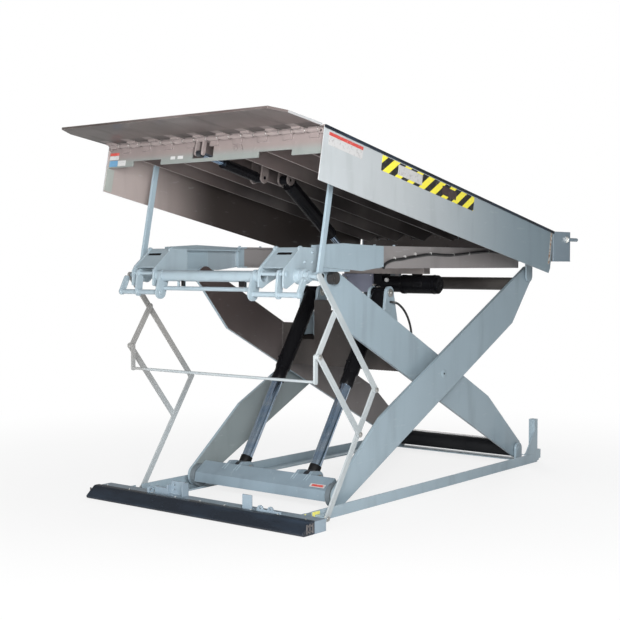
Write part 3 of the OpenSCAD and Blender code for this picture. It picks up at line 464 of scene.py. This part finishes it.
# Torsion plate and lugs: a tall folded plate, welded between the inner arms and sprayed almost
# black, with two pairs of lugs that hold the barrels' heads on capped pins.
torsion_dark = enamel("torsion dark enamel", (0.040, 0.034, 0.032, 1), (0.17, 0.155, 0.15, 1),
                      0.35)
paint(torsion_dark, "torsion_plate")
bm = bmesh.new()
for x in (-520, 520):
    bead(bm, mm(1559, 815, x), mm(1559, 1115, x), 0.004)
bead(bm, mm(1572, 813.5, -505), mm(1572, 813.5, 505), 0.004)
for x, top in ((219.5, 1176), (380.5, 1115)):
    for side in (-1, 1):
        bead(bm, mm(1573, 1036, side * x), mm(1573, top, side * x), 0.0035)
finished("torsion_weld_beads", bm, "inner_legs", torsion_dark)
bm = bmesh.new()
for side in (-1, 1):
    for out in (-1, 1):
        pin_cap(bm, barrel_head, side * (rod_x + out * 83), side * out, 5, 0.030, 0.009)
finished("barrel_pin_caps", bm, "inner_legs", zinc)


# Rods: ground and hard-chromed steel, with a painted blue reflection in the chrome's colour.
# The eye at each rod's foot is a black forging, welded on below the chrome with a collar.
def rod_finish(name, letter, low, high):
    """Chrome above the span from low to high along the axis, and black below it."""
    f = Finish(name, coat=0.8)
    rings = f.speckle(14.0, 3, (0.05, 0.05, 1))
    # painted reflection: the chrome's colour is blue, paler in rings
    blue = f.blend(rings.over(0.3, 0.8), (0.42, 0.60, 0.84, 1), (0.74, 0.86, 0.98, 1))
    black = 1 - f.axis(letter).over(low, high)
    return f.done(Base_Color=f.blend(black, blue, (0.012, 0.014, 0.018, 1)),
                  Metallic=1 - black, Roughness=rings * 0.05 + 0.12 + black * 0.25)


paint(rod_finish("main rod chrome", "Z", 0.214, 0.216), "main_rods")
paint(rod_finish("deck rod chrome", "Z", 1.612, 1.614), "deck_rod")
paint(rod_finish("lip rod chrome", "Y", -1.411, -1.410), "lip_rod")
rod_way = (mm(*barrel_head) - mm(*rod_foot)).normalized()
bm = bmesh.new()
for side in (-1, 1):
    foot = mm(*rod_foot, side * rod_x)
    bar(bm, foot + rod_way * 0.040, foot + rod_way * 0.085, 0.0405, 32, 0.002)
finished("rod_collars", bm, "main_rods", matt_black)

# Barrels: drawn tube in gloss black enamel. Each main barrel ends in a sleeve and a ring-shaped
# gland nut round the rod, and has a port boss with a plug near its lower end.
barrel_black = gloss("black gloss enamel", (0.004, 0.004, 0.005, 1), (0.007, 0.007, 0.008, 1),
                     0.22, 0.12)
paint(barrel_black, "main_barrels", "deck_barrel", "lip_barrel", "motor", "pump")
barrel_run = 0.640  # from the barrel's head to its mouth
nut_bore, nut_radius, nut_height = 0.0385, 0.050, 0.012
bm = bmesh.new()
for side in (-1, 1):
    head = mm(*barrel_head, side * rod_x)
    mouth = head - rod_way * barrel_run
    made = bmesh.ops.create_cone(bm, cap_ends=False, segments=40, radius1=nut_bore,
                                 radius2=nut_bore, depth=nut_height,
                                 matrix=along(mouth - rod_way * nut_height, mouth))
    rim = [e for e in {e for v in made["verts"] for e in v.link_edges} if e.is_boundary]
    wider = bmesh.ops.extrude_edge_only(bm, edges=rim)
    for v in {v for v in wider["geom"] if isinstance(v, bmesh.types.BMVert)}:
        middle = mouth + rod_way * (v.co - mouth).dot(rod_way)
        v.co = middle + (v.co - middle) * (nut_radius / nut_bore)
    bmesh.ops.bridge_loops(bm, edges=[e for e in bm.edges if e.is_boundary])
    bar(bm, mouth - rod_way * 0.105, mouth - rod_way * 0.006, 0.047, 40, 0.004)
    port = mouth + rod_way * 0.060
    bar(bm, port + Vector((0, -0.045, 0.02)), port + Vector((0, -0.064, 0.028)), 0.013, 16, 0.001)
    bar(bm, port + Vector((0, -0.060, 0.0265)), port + Vector((0, -0.074, 0.0325)), 0.010, 6,
        0.001)
finished("barrel_glands", bm, "main_barrels", barrel_black)

# Guard linkage: flat bars on pins, in a paler grey with painted shade on the left, a brown that
# grows higher up. Each pin is held by a washer under its domed end, on the outer face of the
# links.
f = Finish("guard grey enamel")
cloud = f.speckle(3.0, 3).over(0.35, 0.7)
# painted shade: the left links turn brown, more so higher up
left_shade = (1 - f.axis("X").over(-0.70, -0.60)) * f.axis("Z").over(0.35, 1.1)
tone = f.blend(cloud, (0.335, 0.37, 0.385, 1), (0.40, 0.43, 0.44, 1))
guard_grey = f.done(Base_Color=f.blend(left_shade * 0.65, tone, (0.215, 0.190, 0.170, 1)),
                    Roughness=cloud * 0.06 + 0.35)
paint(guard_grey, "guard_lower_links", "guard_upper_links", "guard_short_links",
      "guard_inner_links", "guard_bar")
guard_pins = dict(guard_lower=((873.21, 759.49), (699.72, 497.77)),
                  guard_short=((294.61, 999.67),))
link_face = 813
for body, pins in guard_pins.items():
    bm = bmesh.new()
    for pin in pins:
        bar(bm, mm(*pin, link_face), mm(*pin, link_face + 2), 0.0165, 24, 0.0005)
        bar(bm, mm(*pin, link_face + 2), mm(*pin, link_face + 5), 0.0115, 20, 0.0015)
    both(bm)
    finished(body + "_pins", bm, body, zinc)


# Upper frame: pressed channels, brackets and cross tubes, welded and bolted together. The
# channels behind the front plates carry a beige painted shade, and the left plate's inner face a
# painted shade that browns towards the dock. A white plate with a red band is stuck inside the
# left beam.
def beam_coat_and_shade(f):
    across = f.axis("X")
    from_middle = abs(across)
    rearward_shade = f.axis("Y").over(-1.0, -0.55)
    # painted shade: the left beam's inner face browns towards the dock
    left_inside = (1 - across.over(-0.66, -0.60)) * (1 - from_middle.over(0.622, 0.628))
    brown = f.blend(rearward_shade, (0.25, 0.285, 0.27, 1), (0.20, 0.17, 0.155, 1))
    tone = f.blend(left_inside, clouded(f, GREY), brown)
    # painted shade: the channels behind the front plates are beige brown
    channel = f.axis("Y").over(-0.420, -0.405) * 0.85 * (1 - from_middle.over(0.633, 0.634))
    return f.blend(channel, tone, (0.235, 0.205, 0.195, 1))


paint(enamel("upper beam enamel", beam_coat_and_shade, PALE), "side_beams")
# The cross channels carry the same beige painted shade.
paint(enamel("channel enamel in painted shade", (0.235, 0.210, 0.200, 1), (0.42, 0.40, 0.38, 1)),
      "cross_channels")
bracket_blue = enamel("bracket enamel", (0.27, 0.335, 0.375, 1), (0.62, 0.66, 0.66, 1))
paint(bracket_blue, "front_brackets", "front_tube")
bm = bmesh.new()
for y, z in ((430, 1560), (430, 1618), (360, 1560)):
    bolt(bm, mm(y, z, 642), RIGHT, 0.009)
bar(bm, mm(172, 1366, 756), mm(172, 1366, 760), 0.019, 24, 0.001)
bar(bm, mm(186, 1487.6, 642), mm(186, 1487.6, 646), 0.015, 20, 0.001)
bolt(bm, mm(215, 1450, 756), RIGHT, 0.007)
bolt(bm, mm(205, 1500, 398.2), (-1, 0, 0), 0.004)
bolt(bm, mm(232, 1450, 398.2), (-1, 0, 0), 0.004)
both(bm)
finished("bracket_fasteners", bm, "upper_frame", frame_grey)
bracket_slope = math.radians(39.4)
bracket_top = Matrix.Translation(mm(181, 1528)) @ Matrix.Rotation(bracket_slope, 4, "X")
# Painted shadow: a thin black block stands for each slot's dark opening.
bm = bmesh.new()
block(bm, (0.495, 0.118, 0.0001), (0.605, 0.138, 0.0012), 0.0003)
both(bm)
finished("bracket_slot_shadows", bm, "upper_frame", matt_black, bracket_top)
bm = bmesh.new()
block(bm, (0.495, 0.141, 0.0001), (0.605, 0.150, 0.0030))
both(bm)
finished("bracket_slot_lips", bm, "upper_frame", frame_grey, bracket_top)
tube_end = (350, 1474.6)
bm = bmesh.new()
bar(bm, mm(*tube_end, 780), mm(*tube_end, 783), 0.024, 32, 0.001)
both(bm)
finished("guard_tube_rims", bm, "upper_frame", bracket_blue)
# The black disc in each rim is painted shade that stands for the tube's bore.
bm = bmesh.new()
bar(bm, mm(*tube_end, 782.5), mm(*tube_end, 783.4), 0.018, 28, 0.0003)
both(bm)
for x0, x1 in ((-222, -198), (264, 316)):
    block(bm, mm(186, 1407, x0), mm(203, 1448, x1), 0.003)
finished("tube_bore_shades_and_pads", bm, "upper_frame", matt_black)
bm = bmesh.new()
ring_weld(bm, mm(296, 1474.6, 642.5), 0.0465, 28, 0.003)
ring_weld(bm, mm(205, 1471.6, 453), 0.036, 28, 0.003)
for x in (452.5, 629.5):
    bead(bm, mm(181, 1528, x), mm(326, 1647, x), 0.003)
both(bm)
finished("bracket_weld_beads", bm, "upper_frame", bracket_blue)
bm = bmesh.new()
block(bm, mm(515, 1543, -619.4), mm(680, 1572, -618.3), 0.0002)
finished("bare_left_beam_plate", bm, "upper_frame", plate_white)
bm = bmesh.new()
block(bm, mm(525, 1556, -618.6), mm(672, 1570, -617.9), 0.0002)
finished("bare_left_beam_band", bm, "upper_frame", plate_red)
bm = bmesh.new()
for y in (1158, 1383):
    bolt(bm, mm(y, 1668, 588), UP, 0.010)
both(bm)
finished("beam_studs", bm, "upper_frame", frame_grey)

# Power unit: a gloss black motor with pressed bands, studs and a terminal block, a pump with
# its fittings, and a violet moulded tank with a level tube, drain plugs and bolted corners.
paint(mottled("tank", (0.115, 0.125, 0.17, 1), (0.19, 0.20, 0.26, 1), (5.0, 3), (0.3, 0.7),
              coat=0.2, soft=0.006), "reservoir")
motor = (2105, 1401)
bm = bmesh.new()
for x in (204, 208, 452, 456):
    bar(bm, mm(*motor, x), mm(*motor, x + 2), 0.0705, 40, 0.0006)
bar(bm, mm(*motor, 496), mm(*motor, 503), 0.020, 20, 0.002)
for a in (45, 135, 225, 315):
    spoke = Vector((0, math.cos(math.radians(a)), math.sin(math.radians(a)))) * 0.042
    bolt(bm, mm(*motor, 500) + spoke, RIGHT, 0.006)
    bar(bm, mm(*motor, 183) + spoke * 1.55, mm(*motor, 176) + spoke * 1.55, 0.006, 6, 0.0005)
block(bm, mm(2030, 1385, 300), mm(2042, 1425, 390), 0.004)
finished("motor_bands", bm, "upper_frame", barrel_black)
bm = bmesh.new()
for x, z, radius in ((-20, 1362, 0.009), (8, 1378, 0.007), (-30, 1395, 0.006)):
    bar(bm, mm(2050, z, x), mm(2034, z, x), radius * 1.3, 6, 0.0006)
    bar(bm, mm(2036, z, x), mm(2018, z, x), radius, 16, 0.001)
for x in (-120, -270):
    bar(bm, mm(2105, 1338, x), mm(2105, 1325, x), 0.010, 6, 0.0008)
for z in (1380, 1440):
    bar(bm, mm(2030, z, -290), mm(2022, z, -290), 0.014, 20, 0.001)
block(bm, mm(2026, 1378, -296), mm(2030, 1442, -284), 0.001)
for x in (-310, -59):
    for z in (1350, 1465):
        bolt(bm, mm(2030, z, x), (0, -1, 0), 0.005)
finished("power_unit_fittings", bm, "upper_frame", zinc)
bm = bmesh.new()
bar(bm, mm(2046, 1432, 82), mm(2026, 1432, 82), 0.015, 24, 0.002)
bar(bm, mm(2027, 1432, 82), mm(2023, 1432, 82), 0.009, 16, 0.001)
finished("motor_cap", bm, "upper_frame", plate_white)

# Loom and hose: wires in a black sleeve that is tied up along the right beam, and a rubber
# hose at the right barrel. The ties are pale plastic straps, pulled tight.
f = Finish("hose rubber", 0.42)
weave = f.speckle(300.0, 3, (0.2, 0.2, 0.2))
f.relief(weave, 0.0006, 0.4)
dust = weave.over(0.4, 0.7) * 0.4
paint(f.done(Base_Color=f.blend(dust, (0.010, 0.010, 0.011, 1), (0.05, 0.05, 0.05, 1))),
      "beam_loom", "leg_hose")
tie_pale = gloss("tie plastic", (0.30, 0.30, 0.29, 1), (0.38, 0.38, 0.37, 1), 0.4)
loom_x, tie_width = 610, 3
bm = bmesh.new()
for y, z in ((1360, 1586), (1483, 1597), (1610, 1617), (1801, 1620), (2105, 1616), (2318, 1627),
             (2600, 1642), (2850, 1637)):
    bar(bm, mm(y - tie_width / 2, z, loom_x), mm(y + tie_width / 2, z, loom_x), 0.0119, 16,
        0.0005)
finished("loom_ties", bm, "upper_frame", tie_pale)

# Dock housing: folded and welded plate that carries the deck's rear pivots between upright
# cheeks, in a darker blue coat. Its front part under the deck is painted almost black, as
# painted shade.
HOUSE_BLUE = (0.205, 0.265, 0.315, 1)


def house_coat_and_shade(f):
    ends = abs(f.axis("X")).over(0.88, 0.90)
    # painted shade: the housing's front part under the deck is almost black
    below = (1 - f.axis("Y").over(1.74, 1.76)) * (1 - f.axis("Z").over(1.790, 1.796))
    return f.blend((1 - ends) * below, clouded(f, HOUSE_BLUE), (0.050, 0.040, 0.038, 1))


paint(enamel("housing coat", house_coat_and_shade, PALE), "dock_housing")
bm = bmesh.new()
bead(bm, mm(3094, 1573, 901.5), mm(3372, 1573, 901.5), 0.0035)
for hinge_x in range(-680, 681, 340):
    for x in (hinge_x - 40.5, hinge_x + 55.5):
        bead(bm, mm(3091, 1752, x), mm(3091, 1787, x), 0.003)
finished("housing_weld_beads", bm, "upper_frame", enamel("housing enamel", HOUSE_BLUE, PALE))
bm = bmesh.new()
for side in (-1, 1):
    bar(bm, mm(3300, 1740, side * 900), mm(3304, 1740, side * 900), 0.026, 24, 0.001)
    for x in (side * 640, side * 300):
        bolt(bm, mm(3374, 1640, x), (0, 1, 0), 0.012)
finished("housing_fasteners", bm, "upper_frame", zinc)

# Deck: a plate on welded ribs. Its underside carries painted shade and a painted warm
# reflection: a warm grey brown that darkens towards the dock. The top carries a rolled tread.
DECK_TILT = 10.83
deck_place = Matrix.Translation(mm(3079, 1800)) @ Matrix.Rotation(math.radians(-DECK_TILT), 4, "X")


def tread(f, tilt):
    """Height of a raised diamond tread on a plate that is tilted by so many degrees."""
    level = f.turned(tilt)
    across, back = f.axis("X", level) * 120.0, f.axis("Y", level) * 120.0
    return ((across + back).maths("SINE") * (across - back).maths("SINE")).over(0.35, 0.75)


def under_coat(name, coat, tilt=None):
    """Thin spray over the tone that coat gives, painted shade included; a plate with a tilt has
    its tread on top.
    """
    f = Finish(name, coat=0.15)
    rubbed = f.edges(0.003)
    cloud = f.speckle(2.2, 5).over(0.35, 0.75)
    runs = f.speckle(12.0, 5, (1, 0.2, 1)).over(0.5, 0.8)
    tone = f.blend(cloud * 0.25, coat(f), (0.30, 0.27, 0.26, 1))
    tone = f.blend(runs * 0.3, tone, (0.06, 0.05, 0.05, 1))
    rough = runs * 0.15 + 0.42
    if tilt:
        top = f.axis("Z", f.normal()).over(0.5, 0.7)
        height = tread(f, tilt) * top
        tone = f.blend(top, tone, f.blend(height, GREY, (0.44, 0.49, 0.52, 1)))
        f.relief(height, 0.0015, 1.0)
        rough = rough + top * 0.22
    tone = f.blend(rubbed * 0.3, tone, (0.5, 0.5, 0.5, 1))
    f.relief(f.speckle(300.0, 3), 0.0006, 0.3)
    return f.done(Base_Color=tone, Roughness=rough)


def shade_to_dock(f, front, rear):
    """Painted shade that darkens along the underside, from the lip to the dock."""
    return f.blend(f.axis("Y").over(-1.15, -0.1), front, rear)


def deck_shade(f):
    return shade_to_dock(f, (0.250, 0.215, 0.208, 1), (0.040, 0.035, 0.035, 1))


def rib_light_and_shade(f):
    """Painted light on the ribs' lower faces, paler towards the front, over sides whose painted
    shade darkens towards the dock.
    """
    sides = shade_to_dock(f, (0.130, 0.105, 0.100, 1), (0.032, 0.028, 0.028, 1))
    # painted light: the downward faces are paler towards the front
    down = 1 - f.axis("Z", f.normal()).over(-0.97, -0.90)
    return f.blend(down * (1 - f.axis("Y").over(-1.1, 0.2)), sides, (0.34, 0.29, 0.28, 1))


paint(under_coat("deck plate enamel", deck_shade, DECK_TILT), "deck_plate")
rib_brown = under_coat("deck rib enamel", rib_light_and_shade)
paint(rib_brown, "deck_ribs", "deck_knuckles")
rib_pitch, welds, weld_pitch, weld_length = 0.268, 13, 0.205, 0.07
bm = bmesh.new()
for rib in range(6):
    x = (rib - 2.5) * rib_pitch + 0.0045
    for weld in range(welds):
        y = -0.30 - weld * weld_pitch
        bead(bm, (x, y, -0.0085), (x, y - weld_length, -0.0085), 0.0032)
finished("rib_weld_beads", bm, "deck", rib_brown, deck_place)


# Header and skirts: plates welded under the deck's front and sides. The header browns towards
# its lower edge. The skirts carry painted shade: the left skirt's inner face is warm grey in
# front and dark brown towards the dock, and the outer faces darken towards the dock. A latch
# lever and the blocks at the hinge's ends sit on the header.
def header_coat(f):
    depth = f.axis("Z").over(2.205, 2.262)
    return f.blend(depth, (0.215, 0.235, 0.225, 1), (0.225, 0.188, 0.182, 1))


def skirt_coat_and_shade(f):
    across, run = f.axis("X"), f.axis("Y")
    inside = across.over(-0.9035, -0.9015) * (1 - across.over(0.9015, 0.9035))
    # painted shade: the inner faces go from warm grey to dark brown towards the dock
    warm = f.blend(run.over(-1.1, -0.35), (0.340, 0.292, 0.278, 1), (0.040, 0.033, 0.031, 1))
    tone = clouded(f, (0.41, 0.44, 0.455, 1))
    # painted shade: the outer faces darken towards the dock
    outside = f.blend(run.over(-0.9, 1.3) * 0.85, tone, (0.165, 0.235, 0.280, 1))
    return f.blend(inside, outside, warm)


def flat(bm, a, b, thick, width):
    """Flat bar from a to b; its width lies in the upright plane through the two."""
    place = along(a, b) @ Matrix.Diagonal((thick, width, (Vector(b) - Vector(a)).length, 1))
    made = bmesh.ops.create_cube(bm, size=1, matrix=place)
    soften(bm, list({e for v in made["verts"] for e in v.link_edges}), 0.0008, 1)


BARE = (0.5, 0.48, 0.47, 1)
header_brown = enamel("header enamel", header_coat, BARE, 0.4, 0.3)
paint(header_brown, "deck_header")
paint(enamel("skirt enamel", skirt_coat_and_shade, PALE), "deck_skirts")
bm = bmesh.new()
bead(bm, (0.9005, -2.915, -0.0095), (0.9005, -1.60, -0.0095), 0.003)
bead(bm, (0.9005, -2.906, -0.012), (0.9005, -2.906, -0.160), 0.003)
both(bm)
finished("skirt_weld_beads", bm, "deck", header_brown, deck_place)
bm = bmesh.new()
block(bm, (0.8985, -2.916, -0.318), (0.9012, -2.850, -0.166))
both(bm)
finished("skirt_front_doublers", bm, "deck",
         enamel("doubler enamel", (0.30, 0.32, 0.30, 1), PALE), deck_place)
bm = bmesh.new()
block(bm, (0.868, -2.923, -0.050), (0.899, -2.907, -0.020), 0.002)
both(bm)
finished("hinge_end_blocks", bm, "deck", header_brown, deck_place)
# A thin matt black disc is painted shade that stands for each pin end's hole.
bm = bmesh.new()
bar(bm, (0.8835, -2.9225, -0.035), (0.8835, -2.9236, -0.035), 0.007, 20, 0.0003)
both(bm)
finished("hinge_end_hole_shades", bm, "deck", matt_black, deck_place)
bm = bmesh.new()
flat(bm, (0.252, -2.9120, -0.052), (0.283, -2.9120, -0.112), 0.006, 0.012)
bar(bm, (0.2275, -2.9080, -0.0975), (0.2275, -2.9140, -0.0975), 0.0125, 24, 0.001)
finished("latch_lever", bm, "deck", header_brown, deck_place)
rusty = mottled("rusty seam", (0.42, 0.42, 0.40, 1), (0.20, 0.11, 0.06, 1), (45.0, 6),
                (0.42, 0.62), rough=0.6)
bm = bmesh.new()
block(bm, (0.9066, -0.045, -0.260), (0.9074, -0.030, -0.020), 0.0003)
bead(bm, (0.9070, -0.026, -0.258), (0.9070, -0.026, -0.022), 0.003)
both(bm)
finished("skirt_rear_seams", bm, "deck", rusty, deck_place)

# Marking on the skirts and the header: a strip of plain black and yellow hazard tape with a
# bare white plate and a bare dark plate on it, a bare white plate near the front edge, and
# small bare plates in white, red and blue on the header.
f = Finish("hazard tape", 0.4, coat=0.2)
level = f.turned(DECK_TILT)
wave = ((f.axis("Y", level) * 0.84 - f.axis("Z", level)) * 8.7 + 0.62).maths("FRACT")
bars = wave.over(0.49, 0.51) * (1 - wave.over(0.985, 1.0))
faded = f.speckle(30.0, 6).over(0.5, 0.75)
tape = f.blend(bars, (0.83, 0.74, 0.06, 1), (0.015, 0.015, 0.015, 1))
hazard_tape = f.done(Base_Color=f.blend(faded * 0.15, tape, (0.5, 0.5, 0.45, 1)))
plate_dark = mottled("dark plate", (0.045, 0.03, 0.03, 1), (0.07, 0.05, 0.05, 1), (30.0, 4),
                     (0.4, 0.7), rough=0.45)
plate_blue = mottled("blue plate", (0.11, 0.26, 0.42, 1), (0.36, 0.44, 0.50, 1), (80.0, 6),
                     (0.5, 0.7), 0.3, coat=0.2)
skirt_face, film = 0.9065, 0.0006
for name, finish, layer, low, high in (
        ("hazard_strip", hazard_tape, 0, (-2.325, -0.118), (-1.205, -0.022)),
        ("bare_strip_plate", plate_white, 1, (-2.145, -0.100), (-1.865, -0.034)),
        ("bare_strip_patch", plate_dark, 1, (-1.620, -0.098), (-1.440, -0.040)),
        ("bare_front_plate", plate_white, 0, (-2.870, -0.105), (-2.530, -0.030))):
    x = skirt_face + layer * film
    bm = bmesh.new()
    block(bm, (x, *low), (x + film, *high), 0)
    block(bm, (-x - film, *low), (-x, *high), 0)
    finished(name, bm, "deck", finish, deck_place)


def header_plate(bm, left, right, low, high):
    """Thin plate on the header's front face."""
    block(bm, (left, header_face - 0.0007, low), (right, header_face, high), 0)


header_face = -2.9053
bm = bmesh.new()
block(bm, (0.9072, -2.870, -0.050), (0.9076, -2.530, -0.030), 0)
block(bm, (0.9072, -1.600, -0.062), (0.9076, -1.455, -0.044), 0)
both(bm)
header_plate(bm, -0.895, -0.810, -0.084, -0.066)
finished("plate_red_bands", bm, "deck", plate_red, deck_place)
bm = bmesh.new()
header_plate(bm, -0.895, -0.810, -0.112, -0.086)
header_plate(bm, -0.812, -0.738, -0.157, -0.120)
header_plate(bm, -0.325, -0.285, -0.138, -0.118)
header_plate(bm, -0.262, -0.215, -0.138, -0.118)
finished("bare_header_plates", bm, "deck", plate_white, deck_place)
bm = bmesh.new()
header_plate(bm, -0.893, -0.815, -0.158, -0.118)
finished("bare_blue_plate", bm, "deck", plate_blue, deck_place)


# Lip: a plate with tapered corners, hung by its knuckles on one long pin with washers between
# them. Its underside carries painted shade that darkens to the left; along the hinge it has
# painted tabs with black painted shadow in the gaps between them, and its cut edges are bare.
def lip_coat_and_shade(f):
    across = f.axis("X")
    # painted shade: the underside is darker to the left
    tone = f.blend(across.over(-0.9, 0.7), (0.052, 0.041, 0.036, 1), (0.074, 0.055, 0.052, 1))
    # painted tabs along the hinge, with black painted shadow in the gaps between them
    gap_shadow = ((across + 0.872) * tabs_per_metre).maths("FRACT").over(0.35, 0.37)
    hinge = f.blend(gap_shadow, (0.190, 0.162, 0.156, 1), (0.017, 0.014, 0.014, 1))
    tone = f.blend(f.axis("Y").over(-1.530, -1.522), tone, hinge)
    return f.blend(abs(across).over(0.9068, 0.9076), tone, (0.42, 0.43, 0.44, 1))


lip_pin = (201.02, 2323.08)
tabs_per_metre = 5.0875
LIP_TILT = 7.93
paint(under_coat("lip enamel", lip_coat_and_shade, LIP_TILT), "lip_plate")
paint(enamel("lip knuckle enamel", (0.225, 0.190, 0.184, 1), BARE, 0.4, 0.3), "lip_knuckles")
knuckles, hinge_length, washer_thick = 18, 1769, 2
bm = bmesh.new()
for i in range(knuckles):
    for off in (10.5, 83.5):
        x = (i / knuckles - 0.5) * hinge_length + off
        bar(bm, mm(*lip_pin, x), mm(*lip_pin, x + washer_thick), 0.0135, 20, 0.0004)
finished("hinge_washers", bm, "deck", zinc)

# Floor and light
# A plain pale floor that keeps the lift's shadow and turns white with distance, a soft key from
# the camera's side, a low light that reaches under the deck, and faint ones above and behind.
bpy.ops.mesh.primitive_plane_add(size=60, location=(0, 0, -0.001))
floor = bpy.context.object
floor.name = "studio_floor"
f = Finish("studio floor", 0.9)
f.shader.inputs["Base Color"].default_value = (0.80, 0.80, 0.80, 1)
seen = f.node("LightPath", {}, {}, "Is Camera Ray")
glow = f.node("Emission", {}, {"Color": (1, 1, 1, 1), "Strength": 1.0})
away = f.node("VectorMath", dict(operation="LENGTH"), {0: f.place}, "Value").over(1.5, 5.0)
lit = Level(f, f.shader.outputs[0])
mixed = f.node("MixShader", {}, {0: seen * (away * 0.22 + 0.78), 1: lit, 2: glow})
f.tree.links.new(mixed.socket, f.tree.nodes["Material Output"].inputs["Surface"])
floor.data.materials.append(f.material)

world = bpy.data.worlds.new("studio")
world.use_nodes = True
scene.world = world
sky = world.node_tree
seen = sky.nodes.new("ShaderNodeLightPath")
strength = sky.nodes.new("ShaderNodeMix")
strength.inputs[2].default_value = 0.22
strength.inputs[3].default_value = 1.0
sky.links.new(seen.outputs["Is Camera Ray"], strength.inputs[0])
sky.links.new(strength.outputs[0], sky.nodes["Background"].inputs["Strength"])
sky.nodes["Background"].inputs["Color"].default_value = (1, 1, 1, 1)


def softbox(name, at, aim, size, power):
    lamp = bpy.data.lights.new(name, "AREA")
    lamp.shape, lamp.size, lamp.energy = "SQUARE", size, power
    hung = bpy.data.objects.new(name, lamp)
    way = Vector(aim) - Vector(at)
    hung.matrix_world = Matrix.Translation(at) @ way.to_track_quat("-Z", "Y").to_matrix().to_4x4()
    scene.collection.objects.link(hung)


softbox("key", (5.0, -5.5, 2.6), (0, 0, 1.3), 2.0, 520)
softbox("low", (1.5, -6.5, 0.5), (0, 0, 1.8), 2.5, 310)
softbox("top", (0, 1.0, 7.0), (0, 0, 0), 5.0, 140)
softbox("rear", (-3.5, 6.5, 4.5), (0, 0, 1.0), 3.0, 220)

scene.view_settings.view_transform = "Standard"
